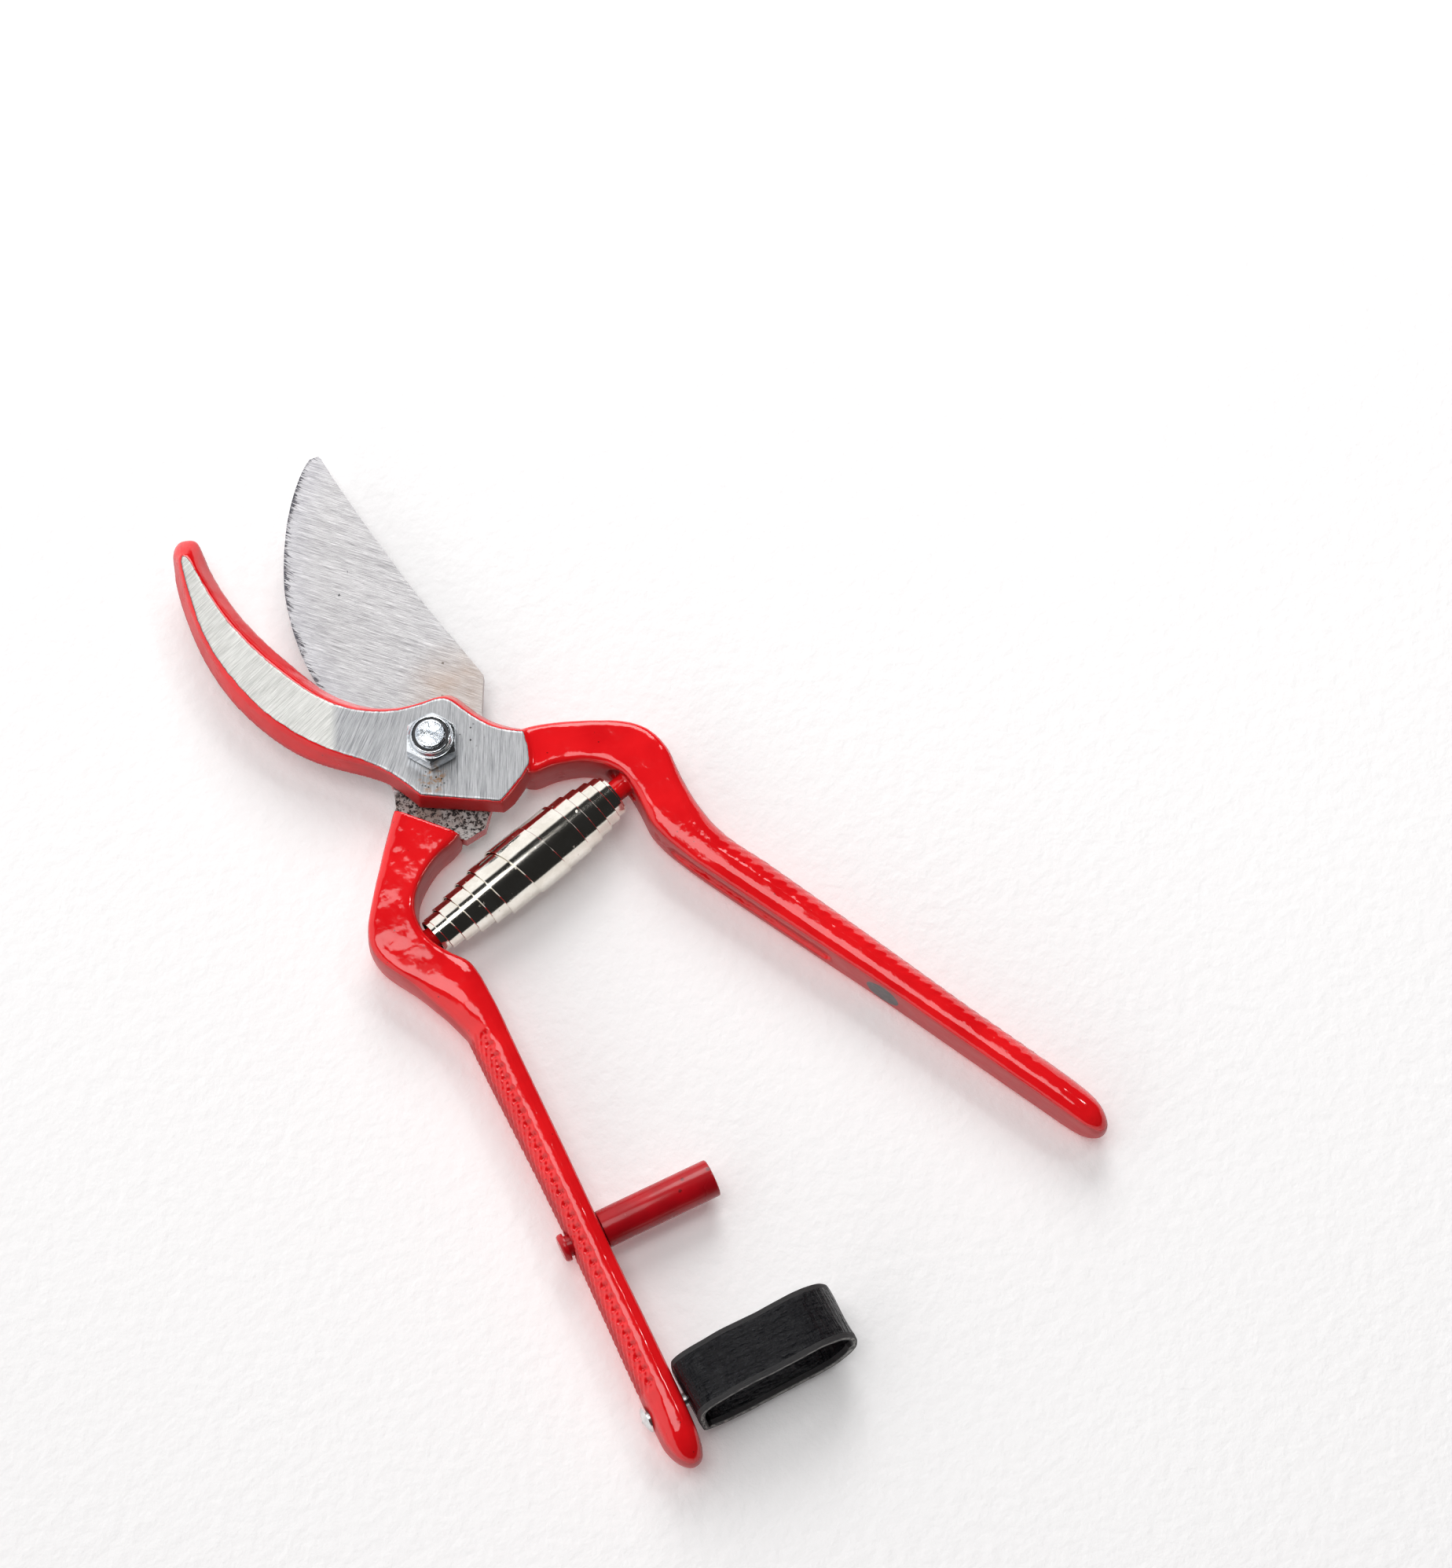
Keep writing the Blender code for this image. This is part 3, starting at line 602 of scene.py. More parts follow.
def blade_steel():
    """Ground blade steel: slanted scratches, a burred cutting edge, brown stain by the pivot."""
    material, tree, shader = new_material("ground blade steel")
    vector = object_place(tree)
    marks = use(tree, grinding, mapped(tree, vector, BLADE_GRAIN))
    color = blend_colors(tree, marks.outputs["Shade"], *BLADE_STEEL)
    edge = attribute_value(tree, "edge_mm")
    slanted = mapped(tree, vector, BLADE_GRAIN - 8.0, (0.0020, 0.00018, 0.002))
    ticks = lumps(tree, slanted, 1.0, 2.0, 0.6)
    tuft = lumps(tree, vector, 160.0, 2.0)
    reach_in = plus(tree, times(tree, ticks, 5.0), times(tree, tuft, 2.6))
    burr = spread(tree, do(tree, "SUBTRACT", do(tree, "SUBTRACT", reach_in, 3.45), edge), 0.0, 0.22)
    color = blend_colors(tree, burr, color, EDGE_BURR)
    bluish = spread(tree, edge, 6.5, 0.5)
    color = blend_colors(tree, times(tree, bluish, 0.12), color, EDGE_BLUE)
    color = speckled(tree, vector, color, 1100.0, 0.012, 0.85, PIT)
    brown = times(tree, reach(tree, vector, (9.5, 6.5), 11.0, 9.0), lumps(tree, vector, 240.0, 3.0))
    color = blend_colors(tree, times(tree, brown, 0.75, clamp=True), color, BROWN_STAIN)
    shelf = reach(tree, vector, (-5.5, -12.5), 12.0, 1.5)
    grime = spread(tree, lumps(tree, vector, 1500.0, 4.0, 0.75), 0.50, 0.56)
    color = blend_colors(tree, times(tree, shelf, 0.85), color, SHELF_STEEL)
    stain = times(tree, shelf, spread(tree, lumps(tree, vector, 230.0, 2.0), 0.42, 0.68))
    color = blend_colors(tree, times(tree, stain, 0.6), color, SHELF_STAIN)
    color = blend_colors(tree, times(tree, shelf, grime), color, GRIME)
    give(tree, shader, "Base Color", color)
    dark = do(tree, "MAXIMUM", burr, times(tree, shelf, 0.6))
    give(tree, shader, "Metallic", do(tree, "SUBTRACT", 1.0, times(tree, dark, 0.7)))
    rough = mix_float(tree, marks.outputs["Shade"], 0.45, 0.33)
    give(tree, shader, "Roughness", mix_float(tree, shelf, rough, 0.6))
    height = plus(tree, times(tree, marks.outputs["Height"], 0.12), times(tree, burr, 0.2))
    height = do(tree, "SUBTRACT", height, times(tree, times(tree, shelf, grime), 0.35))
    bump_into(tree, shader, height, 0.3 * MM)
    return material


def plain_enamel(name, bright, deep, roughness, coat):
    """Enamel on a smooth piece, from a deep to a bright tone, with small dark chips."""
    material, tree, shader = new_material(name)
    vector = object_place(tree)
    tone = spread(tree, lumps(tree, vector, 160.0, 3.0), 0.3, 0.7)
    color = blend_colors(tree, tone, deep, bright)
    color = speckled(tree, vector, color, 700.0, 0.03, 0.7, ENAMEL_CHIP)
    give(tree, shader, "Base Color", color)
    shader.inputs["Coat Weight"].default_value = coat
    shader.inputs["Coat Roughness"].default_value = 0.06
    shader.inputs["Specular IOR Level"].default_value = 0.3
    give(tree, shader, "Roughness", mix_float(tree, tone, roughness + 0.06, roughness))
    bump_into(tree, shader, use(tree, cast_skin, vector, 2.0).outputs[0], 0.08 * MM)
    return material


def plated(name, low, high, roughness, patchy, bump):
    """Plated metal with soft cloudy patches and fine handling marks."""
    material, tree, shader = new_material(name)
    vector = object_place(tree)
    cloud = spread(tree, lumps(tree, vector, 480.0, 4.0, 0.6), 0.32, 0.68)
    give(tree, shader, "Base Color", blend_colors(tree, cloud, low, high))
    shader.inputs["Metallic"].default_value = 1.0
    fine = lumps(tree, vector, 2600.0, 3.0, 0.7)
    rough = plus(tree, times(tree, fine, patchy), roughness)
    give(tree, shader, "Roughness", rough)
    both = plus(tree, cloud, times(tree, fine, 0.3))
    bump_into(tree, shader, both, bump * MM)
    return material


def nickel():
    """Mirror nickel on the wound strip, with faint rub marks and worn dull specks."""
    material, tree, shader = new_material("bright nickel strip")
    vector = object_place(tree)
    cloud = spread(tree, lumps(tree, vector, 300.0, 4.0, 0.65), 0.35, 0.7)
    color = blend_colors(tree, cloud, *NICKEL)
    marks = use(tree, specks, vector, 1300.0, 0.07).outputs[0]
    color = blend_colors(tree, times(tree, marks, 0.5), color, NICKEL_RUB)
    give(tree, shader, "Base Color", color)
    shader.inputs["Metallic"].default_value = 1.0
    scratch = lumps(tree, mapped(tree, vector, -4.0, (0.004, 0.0003, 0.0003)), 1.0, 3.0, 0.6)
    rough = plus(tree, times(tree, scratch, 0.09), times(tree, marks, 0.3))
    give(tree, shader, "Roughness", plus(tree, rough, 0.045))
    height = plus(tree, times(tree, scratch, 0.2), times(tree, marks, 0.4))
    bump_into(tree, shader, height, 0.02 * MM)
    return material


def coated_leather():
    """Black coated leather: glossy, with creases along the band and a fine grain."""
    material, tree, shader = new_material("black coated leather")
    band = band_place(tree)
    long = mapped(tree, band, scale=(0.0032, 0.0007, 1.0))
    fine = mapped(tree, band, scale=(0.0009, 0.00035, 1.0))
    crease = lumps(tree, long, 1.0, 3.0, 0.6)
    grain = lumps(tree, fine, 1.0, 3.0, 0.7)
    bend = attribute_value(tree, "bend")
    across = lumps(tree, mapped(tree, band, scale=(0.0006, 0.0035, 1.0)), 1.0, 2.0, 0.6)
    scuff = spread(tree, grain, 0.52, 0.72)
    color = blend_colors(tree, scuff, *LEATHER)
    give(tree, shader, "Base Color", color)
    give(tree, shader, "Roughness", mix_float(tree, scuff, 0.10, 0.32))
    shader.inputs["Specular IOR Level"].default_value = 0.14
    shader.inputs["Coat Weight"].default_value = 0.05
    shader.inputs["Coat Roughness"].default_value = 0.05
    height = plus(tree, times(tree, crease, 0.8), times(tree, grain, 0.3))
    height = plus(tree, height, times(tree, times(tree, across, bend), 2.4))
    bump_into(tree, shader, height, 0.5 * MM)
    return material


def raw_edge():
    """The strap's cut edge: dark fibre with a thin pale core."""
    material, tree, shader = new_material("cut leather edge")
    long = mapped(tree, band_place(tree), scale=(0.0011, 0.0003, 1.0))
    fibre = lumps(tree, long, 1.0, 4.0, 0.7)
    core = spread(tree, attribute_value(tree, "core"), 0.35, 0.75)
    pale = times(tree, core, spread(tree, fibre, 0.38, 0.6))
    color = blend_colors(tree, pale, *LEATHER_EDGE)
    give(tree, shader, "Base Color", color)
    give(tree, shader, "Roughness", mix_float(tree, fibre, 0.5, 0.85))
    bump_into(tree, shader, fibre, 0.25 * MM)
    return material


def nylon():
    material, tree, shader = new_material("dark nylon ring")
    vector = object_place(tree)
    tone = lumps(tree, vector, 900.0, 3.0)
    give(tree, shader, "Base Color", blend_colors(tree, tone, *NYLON))
    give(tree, shader, "Roughness", mix_float(tree, tone, 0.4, 0.6))
    bump_into(tree, shader, tone, 0.05 * MM)
    return material


def paper():
    material, tree, shader = new_material("pale paper floor")
    vector = object_place(tree)
    tooth = lumps(tree, vector, 420.0, 4.0, 0.6)
    tone = lumps(tree, vector, 12.0, 2.0)
    color = blend_colors(tree, tone, *PAPER)
    give(tree, shader, "Base Color", color)
    shader.inputs["Roughness"].default_value = 0.9
    shader.inputs["Specular IOR Level"].default_value = 0.15
    shader.inputs["Emission Color"].default_value = (1.0, 0.985, 0.985, 1.0)
    shader.inputs["Emission Strength"].default_value = 0.15
    bump_into(tree, shader, tooth, 0.5 * MM, 0.5)
    return material


# ---- Arms ----

# Each handle's straight inner face: where it starts and the direction it runs in, in plan.
HOOK_HANDLE = ((21.9, -42.9), (0.2772, -0.9608), (0.9608, 0.2772))
BLADE_HANDLE = ((-18.7, -42.7), (-0.2239, -0.9746), (-0.9746, 0.2239))
RIDGE = 3.3
HOOK_TIP = (-12.4, 58.1)
# Where the stop pin has worn the hook arm's handle.
WEAR_PLACE = (32.97, -78.7)
WEAR_RADIUS = 3.2
VOXEL = 0.285


def handle_place(points, handle):
    """Places along the handle, out from its inner face, and round its outer side from the ridge."""
    start, along, outward = handle
    across = points[:, :2] - np.array(start)
    u = across @ np.array(along)
    v = across @ np.array(outward)
    below = MID_HEIGHT - np.abs(points[:, 2] - MID_HEIGHT)
    return u, v, np.hypot(v - RIDGE, below)


def cross_hatch(u, round_way, pitch, depth, lean):
    """Grooves in two crossing directions, the first deeper than the second."""
    total = np.zeros(len(u))
    for slope, share in ((-lean, 1.0), (lean, 0.35)):
        wave = np.abs(((u + slope * round_way) / pitch) % 1.0 - 0.5) * 2.0
        total += share * (1.0 - ramp(wave, 0.0, 0.8))
    return -depth * np.minimum(total, 1.2)


def ridge_notches(u, v, pitch, place, depth):
    """A row of leaning oval notches along the ridge, with a pit between each two."""
    lean = (v - place) * 0.08
    near = (((u + lean) / pitch) % 1.0 - 0.5) * pitch
    oval = ramp(-np.hypot(near / 0.48, (v - place) / 0.72), -1.0, -0.55)
    between = (((u + lean) / pitch + 0.5) % 1.0 - 0.5) * pitch
    pit = ramp(-np.hypot(between / 0.3, (v - place - 0.45) / 0.42), -1.0, -0.3)
    return -depth * (oval + 0.5 * pit)


def dress_casting(arm, handle, knurl, relax, ends, hatch, notch):
    """Relaxes the facets, rounds the ends and adds the dips of the casting and the grip's knurling.

    The knurl is its start and end along the handle. The hatch is the pitch, depth and lean of its
    grooves, and the notch is the pitch, place and depth of the ridge's notches.
    """
    smooth_by_weight(arm, relax, 9)
    smooth_by_weight(arm, ends, 90)
    points = points_of(arm)
    normals = normals_of(arm)
    u, v, round_way = handle_place(points, handle)
    swell = 0.055 * noise_at(points, 6.5, 1) + 0.04 * noise_at(points, 2.4, 2)
    on_handle = ramp(u, 0.0, 6.0)
    calm = 1.0 - 0.75 * on_handle
    starts, ends_off = (ramp(u, place - 0.6, place + 0.6) for place in knurl)
    in_knurl = starts * (1 - ends_off)
    outer = normals[:, :2] @ np.array(handle[2])
    side = ramp(outer, 0.12, 0.5) * in_knurl
    move = swell * calm * relax
    move += side * cross_hatch(u, round_way, *hatch)
    if notch:
        top = ramp(np.abs(normals[:, 2]), 0.25, 0.55)
        move += top * in_knurl * ridge_notches(u, v, *notch)
    in_channel = ramp(v, 0.2, 0.35) * ramp(-v, -0.95, -0.8)
    in_channel *= ramp(-np.abs(points[:, 2] - MID_HEIGHT), -1.9, -1.5) * ramp(-u, -24.0, -22.0)
    move += in_channel * 0.22 * noise_at(points, 0.75, 3)
    points += normals * move[:, None]
    level = on_handle * ramp(normals[:, 2], 0.8, 0.95) * ramp(v, 1.1, 1.7)
    points[:, 2] += level * 0.07 * np.clip((RIDGE - v) / 1.5, 0.0, 1.0)
    put_points(arm, points)
    # The wall attribute marks steep faces. The enamel darkens them as painted shade and makes them
    # rougher.
    put_attribute(arm, "wall", ramp(-np.abs(normals[:, 2]), -0.6, -0.25))


def make_hook_arm(material):
    arm = copy_node("hook_arm", "hook_arm_casting")
    outline = flat_outline(arm, PLATE_TOP)
    apply_modifier(arm, "REMESH", mode="VOXEL", voxel_size=VOXEL * MM)
    points = points_of(arm)
    away = distance_from(points, outline)
    inside = inside_of(points, outline)
    ground = np.where(inside, away, -away)
    seat_gap = np.linalg.norm(points - np.array(HOOK_SEAT), axis=1)
    relax = ramp(-ground, 1.2, 3.4) * (1 - 0.8 * (1 - ramp(seat_gap, 3.8, 5.5)))
    relax = np.maximum(relax, 0.25 * ramp(-ground, 0.2, 1.0))
    far_end = handle_place(points, HOOK_HANDLE)[0]
    tip_gap = np.linalg.norm(points[:, :2] - HOOK_TIP, axis=1)
    tip = ramp(-tip_gap, -7.0, -4.0) * ramp(-ground, 0.3, 0.9)
    ends = np.maximum(ramp(far_end, 76.5, 79.5), tip)
    dress_casting(arm, HOOK_HANDLE, (0.5, 65.0), relax, ends, (2.3, 0.07, 0.8), None)
    points = points_of(arm)
    for low, high, flat in ((10.3, 11.0, PLATE_TOP), (6.4, 6.78, PLATE_UNDERSIDE)):
        level = inside & (points[:, 2] > low) & (points[:, 2] < high)
        points[level, 2] = flat
    put_points(arm, points)
    put_attribute(arm, "ground", ground)
    mark = np.linalg.norm(points - np.array((*WEAR_PLACE, MID_HEIGHT)), axis=1)
    put_attribute(arm, "worn", WEAR_RADIUS - mark)
    arm.data.shade_smooth()
    finish_piece(arm, material, "hook_side", "red_enamel", "hook_arm")


CUTTING_EDGE = [
    (16.9, 57.0), (14.3, 56.2), (11.5, 54.5), (8.4, 52.1), (5.4, 49.3), (2.2, 45.7),
    (-0.6, 42.0), (-2.8, 38.6), (-4.7, 34.6), (-6.1, 30.9), (-7.3, 26.8), (-8.1, 22.1),
    (-8.4, 17.1), (-8.4, 12.1),
]
STEP_ANGLE = math.radians(210.9)
STEP_DISTANCE = 12.45


def make_blade_arm(enamel, steel, edge_enamel):
    """The cast arm and, as a piece of its own, the thin ground plate in front of its step."""
    square = Vector((math.cos(STEP_ANGLE), math.sin(STEP_ANGLE), 0.0))
    plate = copy_node("blade_arm", "blade_plate")
    cut(plate, square * (STEP_DISTANCE - 0.02) * MM, square, False)
    cut(plate, Vector((15.9, 56.6, 0.0)) * MM, Vector((0.30, 0.95, 0.0)), False)
    edit(plate)
    bpy.ops.mesh.dissolve_limited(angle_limit=math.radians(0.6))
    object_mode()
    bevel(plate, 0.03, 1, 40)
    slice_up(plate, 1.3)
    points = points_of(plate)
    edge = np.array([(*a, *b) for a, b in zip(CUTTING_EDGE, CUTTING_EDGE[1:])])
    put_attribute(plate, "edge_mm", distance_from(points, edge))
    smooth_shade(plate, 25)
    finish_piece(plate, steel, "blade_side", "red_enamel")
    plate.data.materials.append(edge_enamel)
    for face in plate.data.polygons:
        low_edge = face.center.y < 1.5 * MM and face.center.xy.length > 4.0 * MM
        if abs(face.normal.z) < 0.75 and low_edge:
            face.material_index = 1

    arm = copy_node("blade_arm", "blade_arm_casting")
    cut(arm, square * (STEP_DISTANCE + 0.02) * MM, square, True)
    apply_modifier(arm, "REMESH", mode="VOXEL", voxel_size=VOXEL * MM)
    points = points_of(arm)
    past_step = points[:, :2] @ np.array(square.xy) - STEP_DISTANCE
    seat_gap = np.linalg.norm(points - np.array(BLADE_SEAT), axis=1)
    relax = np.maximum(ramp(past_step, 0.8, 3.0), 0.25 * ramp(past_step, 0.1, 0.5))
    relax = relax * (1 - 0.8 * (1 - ramp(seat_gap, 3.8, 5.5)))
    notch = (2.09, 3.8, 0.5)
    ends = ramp(handle_place(points, BLADE_HANDLE)[0], 75.5, 78.5)
    dress_casting(arm, BLADE_HANDLE, (3.0, 67.0), relax, ends, (2.09, 0.28, 1.7), notch)
    put_attribute(arm, "ground", np.full(len(points), -5.0))
    put_attribute(arm, "worn", np.full(len(points), -5.0))
    arm.data.shade_smooth()
    finish_piece(arm, enamel, "blade_side", "red_enamel", "blade_arm")


# ---- Turned and hexagonal pieces ----


def turned(name, profile, steps=64):
    """A turned piece on +Z from (radius, height) pairs in millimetres, closed on its axis."""
    mesh = bpy.data.meshes.new(name)
    edges = [(i, i + 1) for i in range(len(profile) - 1)]
    mesh.from_pydata([(r * MM, 0.0, h * MM) for r, h in profile], edges, [])
    obj = put_in_scene(name, mesh)
    apply_modifier(
        obj, "SCREW", axis="Z", angle=2 * math.pi, steps=steps, render_steps=steps,
        use_merge_vertices=True, merge_threshold=MERGE_DISTANCE,
    )
    edit(obj)
    bpy.ops.mesh.remove_doubles(threshold=MERGE_DISTANCE)
    bpy.ops.mesh.normals_make_consistent(inside=False)
    object_mode()
    return obj


def rounded(radius, height, size, steps):
    """Profile points round the corner at a cylinder's upper end."""
    found = []
    for i in range(steps + 1):
        turn = math.pi / 2 * i / steps
        found.append((radius - size * (1 - math.cos(turn)), height - size * (1 - math.sin(turn))))
    return found


def hexagon(name, flats, low, high, turn):
    bpy.ops.mesh.primitive_cylinder_add(
        vertices=6, radius=flats / math.sqrt(3) * MM, depth=(high - low) * MM,
        location=(0.0, 0.0, (low + high) / 2 * MM), rotation=(0.0, 0.0, turn),
    )
    obj = name_it(name)
    settle(obj)
    return obj


def make_nut(material):
    nut = hexagon("lock_nut_plated", 8.0, 10.8, 14.25, math.radians(21.6))
    chamfer = [(0.0, 10.7), (4.05, 10.7), (4.62, 11.1), (4.7, 13.5), (3.75, 14.3), (0.0, 14.3)]
    boolean(nut, turned("chamfer_form", chamfer, 96), "INTERSECT")
    collar = [(0.0, 13.7), (3.85, 13.7), (3.72, 14.25), (3.55, 14.45)]
    collar += rounded(3.45, 15.5, 0.38, 6) + [(0.0, 15.5)]
    boolean(nut, turned("collar_form", collar, 96), "UNION")
    bore = [(0.0, 10.0), (2.6, 10.0), (2.6, 14.0), (3.03, 14.0), (3.03, 15.3), (3.14, 15.7)]
    bore += [(0.0, 15.7)]
    boolean(nut, turned("bore_form", bore, 96), "DIFFERENCE")
    bevel(nut, 0.11, 3, 28)
    smooth_shade(nut, 35)
    finish_piece(nut, material, "hook_side", "zinc_plate", "lock_nut")


def make_bolt(material):
    bolt = hexagon("pivot_bolt_plated", 8.0, 0.0, 3.2, 0.0)
    chamfer = [(0.0, 0.0), (4.0, 0.0), (4.62, 0.45), (4.7, 3.2), (0.0, 3.2)]
    boolean(bolt, turned("bolt_chamfer_form", chamfer, 96), "INTERSECT")
    shank = [(0.0, 2.9), (2.5, 2.9), (2.5, 13.6)]
    for i in range(5):
        low = 13.6 + 0.45 * i
        shank += [(2.5, low + 0.1), (2.32, low + 0.22), (2.5, low + 0.34)]
    shank += [(2.5, 15.82), (2.34, 15.97), (2.2, 16.0), (1.6, 15.97), (1.3, 15.9), (0.0, 15.9)]
    boolean(bolt, turned("shank_form", shank, 64), "UNION")
    bevel(bolt, 0.08, 2, 40)
    smooth_shade(bolt, 35)
    finish_piece(bolt, material, "hook_side", "zinc_plate", "pivot_bolt")


def lay_down(obj, point, angle):
    """Turns a piece from +Z to this direction in plan and puts its start at the point."""
    tip = Matrix.Rotation(math.radians(90), 4, "Y")
    turn = Matrix.Rotation(angle, 4, "Z")
    obj.data.transform(Matrix.Translation(Vector(point) * MM) @ turn @ tip)


def make_stop_pin(material):
    profile = [(0.0, -7.05), (1.5, -7.05), (2.05, -6.95), (2.3, -6.65), (2.35, -6.1), (2.3, -5.9)]
    profile += [(1.8, -5.9), (1.8, 0.32), (2.9, 0.32), (3.1, 0.42), (3.15, 0.7), (3.15, 19.6)]
    profile += [(3.08, 19.88), (2.9, 20.0), (1.2, 19.93), (0.0, 19.9)]
    pin = turned("stop_pin_enamelled", profile, 72)
    lay_down(pin, (*PIN_FOOT, MID_HEIGHT), PIN_ANGLE)
    smooth_shade(pin, 35)
    finish_piece(pin, material, "blade_side", "crimson_enamel", "stop_pin")


def make_rivet(material):
    profile = [(0.0, -7.6)]
    for i in range(1, 9):
        turn = math.radians(10 * i)
        profile.append((2.2 * math.sin(turn) / math.sin(math.radians(80)), -6.43 - math.cos(turn)))
    profile += [(2.18, -6.6), (1.2, -6.6), (1.2, 1.95), (1.9, 1.95), (2.0, 2.15), (1.7, 2.4)]
    profile += [(0.0, 2.45)]
    rivet = turned("strap_rivet_domed", profile, 40)
    lay_down(rivet, (*STRAP_FOOT, MID_HEIGHT), STRAP_ANGLE)
    smooth_shade(rivet, 40)
    finish_piece(rivet, material, "blade_side", "rivet_steel", "strap_rivet")


# ---- Spring ----

# Middle of the strip along the spring, in millimetres from the spring's middle, at whole turns.
STRIP_LEFT = [0.0, 5.4, 8.3, 11.2, 14.0, 16.3, 18.0]
STRIP_RIGHT = [0.0, 5.5, 8.2, 10.6, 12.8, 14.5, 15.3, 15.6]
STRIP_WIDTH = 6.3
STRIP_THICKNESS = 0.3
SPRING_MIDDLE_RADIUS = 5.7
SPRING_END_RADIUS = 3.1
FIRST_TURN, LAST_TURN = -6.5, 7.5
STEPS_PER_TURN = 56
START_ANGLE = 1.9
# How far from the middle a strip of this radius may reach to each seat. A wider one stops shorter.
NARROW_RADIUS = 3.3
NEAR_REACH = 18.1
FAR_REACH = 20.4


def strip_state(turn):
    """Place along the spring and outer radius of the strip, this many turns from its middle."""
    table = STRIP_LEFT if turn < 0 else STRIP_RIGHT
    last = 5.6 if turn < 0 else 6.6
    share = abs(turn)
    fall = min(1.0, share / last)
    place = np.interp(share, [0.0, 0.5] + list(range(1, len(table))), [0.0, 3.3] + table[1:])
    bulge = 0.0 if turn < 0 else 0.2 * math.sin(math.pi * fall)
    radius = SPRING_MIDDLE_RADIUS - (SPRING_MIDDLE_RADIUS - SPRING_END_RADIUS) * fall + bulge
    return math.copysign(place, turn), radius


def make_spring(material):
    """A flat strip wound as two cones, each turn lapping over the next smaller one.

    Each turn stops short of the arms by enough to clear them when the handles are closed.
    """
    half = STRIP_WIDTH / 2
    thin = STRIP_THICKNESS
    flat = half - 0.07
    section = [(-half, -0.06), (-flat, 0.0), (flat, 0.0), (half, -0.06)]
    section += [(half, -thin + 0.06), (flat, -thin), (-flat, -thin), (-half, -thin + 0.06)]
    count = int((LAST_TURN - FIRST_TURN) * STEPS_PER_TURN)
    chord = HOOK_SEAT - BLADE_SEAT
    middle = (HOOK_SEAT + BLADE_SEAT) / 2
    along = chord.normalized()
    up = Vector((0.0, 0.0, 1.0))
    side = up.cross(along)
    bm = bmesh.new()
    rows = []
    for i in range(count + 1):
        turn = FIRST_TURN + (LAST_TURN - FIRST_TURN) * i / count
        place, radius = strip_state(turn)
        angle = 2 * math.pi * turn + START_ANGLE
        outward = side * math.cos(angle) + up * math.sin(angle)
        wider = max(0.0, radius - NARROW_RADIUS)
        near_seat = NEAR_REACH - wider * 0.8
        far_seat = FAR_REACH - wider
        row = []
        for across, deep in section:
            stretch = max(-far_seat, min(near_seat, place + across))
            row.append(bm.verts.new((middle + along * stretch + outward * (radius + deep)) * MM))
        rows.append(row)
    for low, high in zip(rows, rows[1:]):
        for k in range(len(section)):
            n = (k + 1) % len(section)
            bm.faces.new((low[k], low[n], high[n], high[k]))
    bm.faces.new(rows[0])
    bm.faces.new(rows[-1])
    bmesh.ops.recalc_face_normals(bm, faces=bm.faces)
    mesh = bpy.data.meshes.new("volute_spring_wound")
    bm.to_mesh(mesh)
    bm.free()
    spring = put_in_scene("volute_spring_wound", mesh)
    smooth_shade(spring, 40)
    finish_piece(spring, material, "spring_body", "nickel_plate", "volute_spring")
    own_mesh(spring)


# ---- Strap ----

STRAP_LEAN = math.radians(8.0)
STRAP_HEIGHT = 7.3
STRAP_HALF_WIDTH = 5.0
STRAP_DEPTH = 1.15
BAND_INSET = 0.12
BAND_STEPS = 8
# The steps along the band between which its other end lies against its inside, and how deep.
LAP_START, LAP_END = 92, 150
LAP_DEPTH = 0.55
# Outer outline of the band, out from the handle and up from the loop's middle height.
BAND = [
    (0.15, 0.0), (0.2, 2.6), (0.6, 4.5), (2.1, 5.7), (5.0, 6.2), (9.0, 6.45), (14.0, 6.4),
    (19.0, 6.45), (23.0, 6.35), (26.2, 5.0), (28.0, 2.6), (28.45, 0.0), (27.9, -2.8),
    (26.0, -5.1), (23.0, -6.3), (18.0, -6.45), (12.0, -6.4), (6.5, -6.2), (2.8, -5.6),
    (0.7, -4.4), (0.25, -2.4),
]


def closed_curve(points, steps):
    """Points of a smooth closed curve through the given ones."""
    found = []
    count = len(points)
    for i in range(count):
        p, q, r, s = (np.array(points[(i + k - 1) % count]) for k in range(4))
        for step in range(steps):
            t = step / steps
            found.append(
                0.5 * (2 * q + (r - p) * t + (2 * p - 5 * q + 4 * r - s) * t * t
                       + (3 * q - p - 3 * r + s) * t**3)
            )
    return np.array(found)


def strap_place(x, y, z):
    """From the loop's own place (out from the handle, across, up from its middle) to the frame."""
    y, z = (
        y * math.cos(STRAP_LEAN) + z * math.sin(STRAP_LEAN),
        z * math.cos(STRAP_LEAN) - y * math.sin(STRAP_LEAN),
    )
    return Vector((
        STRAP_FOOT[0] + x * math.cos(STRAP_ANGLE) - y * math.sin(STRAP_ANGLE),
        STRAP_FOOT[1] + x * math.sin(STRAP_ANGLE) + y * math.cos(STRAP_ANGLE),
        STRAP_HEIGHT + z,
    )) * MM


def band_section():
    """Round the band's section: across, out from its outer face, and how near to its core."""
    half = STRAP_HALF_WIDTH
    shares = (0.08, 0.3, 0.5, 0.7, 0.92)
    side = [(-STRAP_DEPTH * share, 1 - abs(2 * share - 1)) for share in shares]
    face = [half * (k / 6 - 1) for k in range(1, 12)]
    section = [(across, 0.0, 0.0) for across in face]
    section += [(half, *rest) for rest in side]
    section += [(-across, -STRAP_DEPTH, 0.0) for across in face]
    return section + [(-half, *rest) for rest in reversed(side)]


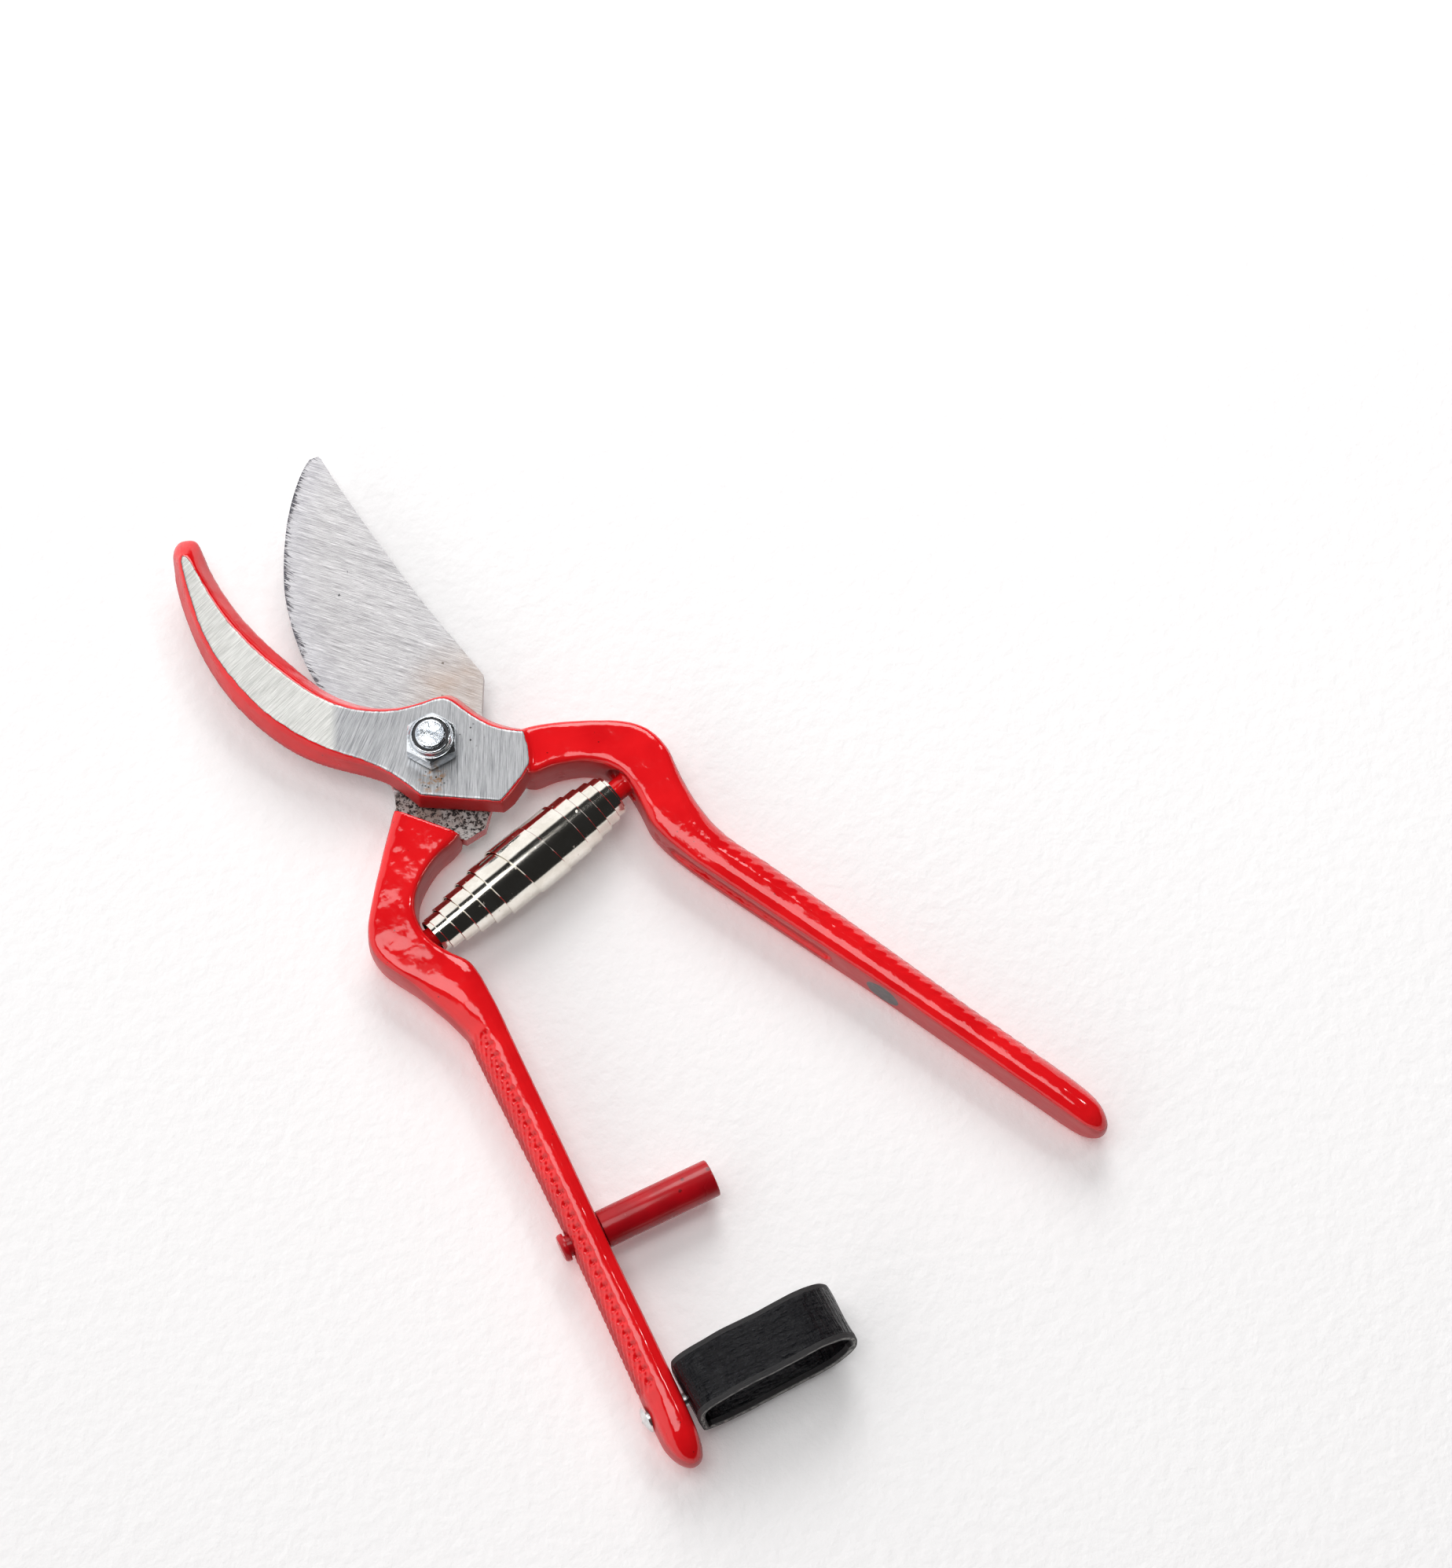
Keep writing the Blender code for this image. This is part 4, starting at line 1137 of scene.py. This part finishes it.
def make_strap(leather, edge):
    """One band of leather, closed on the handle, with one end lapped inside its lower run."""
    line = closed_curve(BAND, BAND_STEPS)
    count = len(line)
    ahead = np.roll(line, -1, axis=0) - np.roll(line, 1, axis=0)
    ahead /= np.linalg.norm(ahead, axis=1)[:, None]
    outward = np.stack([-ahead[:, 1], ahead[:, 0]], axis=1)
    turning = np.abs(np.cross(np.roll(ahead, 2, axis=0), np.roll(ahead, -2, axis=0)))
    strides = np.linalg.norm(np.diff(line, axis=0, append=line[:1]), axis=1)
    lengths = np.concatenate([[0.0], np.cumsum(strides)])
    section = band_section()
    wide = len(section)
    verts = []
    bend = []
    core = []
    for i in range(count):
        lap = LAP_DEPTH if LAP_START <= i <= LAP_END else 0.0
        for across, deep, pale in section:
            wave = 0.16 * noise.noise(Vector((lengths[i] * 0.32, across * 0.22, 3.0)))
            sway = 0.22 * noise.noise(Vector((lengths[i] * 0.11, 9.0, 4.0)))
            inward = deep - (lap if deep < -0.6 * STRAP_DEPTH else 0.0)
            x, z = line[i] + outward[i] * (inward + wave - BAND_INSET)
            verts.append(strap_place(x, across + sway, z))
            bend.append(min(1.0, turning[i] * 2.6))
            core.append(pale)
    faces = []
    uvs = []
    kinds = []
    corners = np.array(section + section[:1])[:, :2]
    reach_across = np.cumsum([0.0, *np.linalg.norm(np.diff(corners, axis=0), axis=1)])
    for i in range(count):
        j = (i + 1) % count
        for k in range(wide):
            n = (k + 1) % wide
            faces.append((i * wide + k, j * wide + k, j * wide + n, i * wide + n))
            for s, a in ((i, k), (i + 1, k), (i + 1, k + 1), (i, k + 1)):
                uvs += [lengths[s] * MM, reach_across[a] * MM]
            kinds.append(1 if max(section[k][2], section[n][2]) > 0 else 0)
    mesh = bpy.data.meshes.new("strap_band")
    mesh.from_pydata(verts, [], faces)
    mesh.uv_layers.new(name="band").data.foreach_set("uv", uvs)
    mesh.materials.append(leather)
    mesh.materials.append(edge)
    mesh.polygons.foreach_set("material_index", kinds)
    strap = put_in_scene("strap_band", mesh)
    put_attribute(strap, "bend", np.array(bend))
    put_attribute(strap, "core", np.array(core))
    edit(strap)
    bpy.ops.mesh.normals_make_consistent(inside=False)
    object_mode()
    smooth_shade(strap, 50)
    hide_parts("strap_loop", "strap_tab")
    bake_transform(strap)


# ---- Floor, light and camera ----

CAMERA_PLACE = Vector((-0.09638106, -0.20023361, 0.58706421))
CAMERA_AIM = Vector((0.03521161, -0.03420498, 0.005))
LIGHT_DISTANCE = 0.9
# Each light's name, direction from the origin, size in metres and power in watts.
LIGHTS = [
    ("key softbox", (0.50, 0.55, 0.67), 0.52, 3.7),
    ("overhead softbox", (-0.11, 0.08, 0.99), 0.50, 2.3),
    ("small lamp", (0.55, -0.10, 0.80), 0.10, 0.5),
]
WORLD_STRENGTH = 1.12
# Each dark panel's direction, and the angles in degrees from it to its edge and to its full dark.
DARK_PANELS = [((0.12, -0.48, 0.87), 63, 57), ((0.85, 0.20, 0.49), 42, 30)]


def make_floor(material):
    bpy.ops.mesh.primitive_plane_add(size=3.0, location=(0.0, 0.0, -0.05 * MM))
    floor = name_it("floor_paper")
    settle(floor)
    floor.data.materials.append(material)


def make_light(name, direction, size, power):
    light = bpy.data.lights.new(name, "AREA")
    light.shape = "DISK"
    light.size = size
    light.energy = power
    lamp = put_in_scene(name, light)
    lamp.location = Vector(direction).normalized() * LIGHT_DISTANCE
    lamp.rotation_euler = lamp.location.to_track_quat("Z", "Y").to_euler()


def make_world():
    """A pale studio with wide dark panels over the near side and at the right."""
    world = bpy.data.worlds.new("studio")
    bpy.context.scene.world = world
    world.use_nodes = True
    tree = world.node_tree
    direction = tree.nodes.new("ShaderNodeTexCoord").outputs["Generated"]
    dark = 0.0
    for panel, edge, full in DARK_PANELS:
        toward = tuple(Vector(panel).normalized())
        low, high = (math.cos(math.radians(degrees)) for degrees in (edge, full))
        dark = do(tree, "MAXIMUM", dark, spread(tree, dot(tree, direction, toward), low, high))
    color = blend_colors(tree, dark, *STUDIO)
    background = tree.nodes["Background"]
    tree.links.new(color, background.inputs["Color"])
    background.inputs["Strength"].default_value = WORLD_STRENGTH


def make_camera():
    data = bpy.data.cameras.new("camera")
    camera = put_in_scene("camera", data)
    camera.location = CAMERA_PLACE
    camera.rotation_euler = (CAMERA_AIM - CAMERA_PLACE).to_track_quat("-Z", "Y").to_euler()
    data.lens = 85.0
    data.sensor_width = 36.0
    bpy.context.scene.camera = camera


# ---- The whole ----

for leftover in list(bpy.data.objects):
    bpy.data.objects.remove(leftover)
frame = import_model()

grinding = group_grinding()
specks = group_specks()
cast_skin = group_cast_skin()

red = arm_enamel()
edge_red = plain_enamel("red enamel on the tang", *TANG_ENAMEL, roughness=0.25, coat=0.3)
crimson = plain_enamel("crimson pin enamel", *CRIMSON, roughness=0.22, coat=0.15)
zinc = plated("bright zinc", *NUT_ZINC, roughness=0.10, patchy=0.12, bump=0.03)
bolt_zinc = plated("rough zinc", *BOLT_ZINC, roughness=0.14, patchy=0.15, bump=0.07)
rivet_metal = plated("rivet aluminium", *ALUMINIUM, roughness=0.22, patchy=0.2, bump=0.04)

make_hook_arm(red)
make_blade_arm(red, blade_steel(), edge_red)
make_nut(zinc)
make_bolt(bolt_zinc)
insert = frame["nodes"]["lock_nut_insert"]
insert.data.materials[0] = nylon()
make_stop_pin(crimson)
make_rivet(rivet_metal)
make_spring(nickel())
make_strap(coated_leather(), raw_edge())

make_floor(paper())
for lamp in LIGHTS:
    make_light(*lamp)
make_world()
make_camera()
bpy.context.scene.view_settings.view_transform = "Standard"
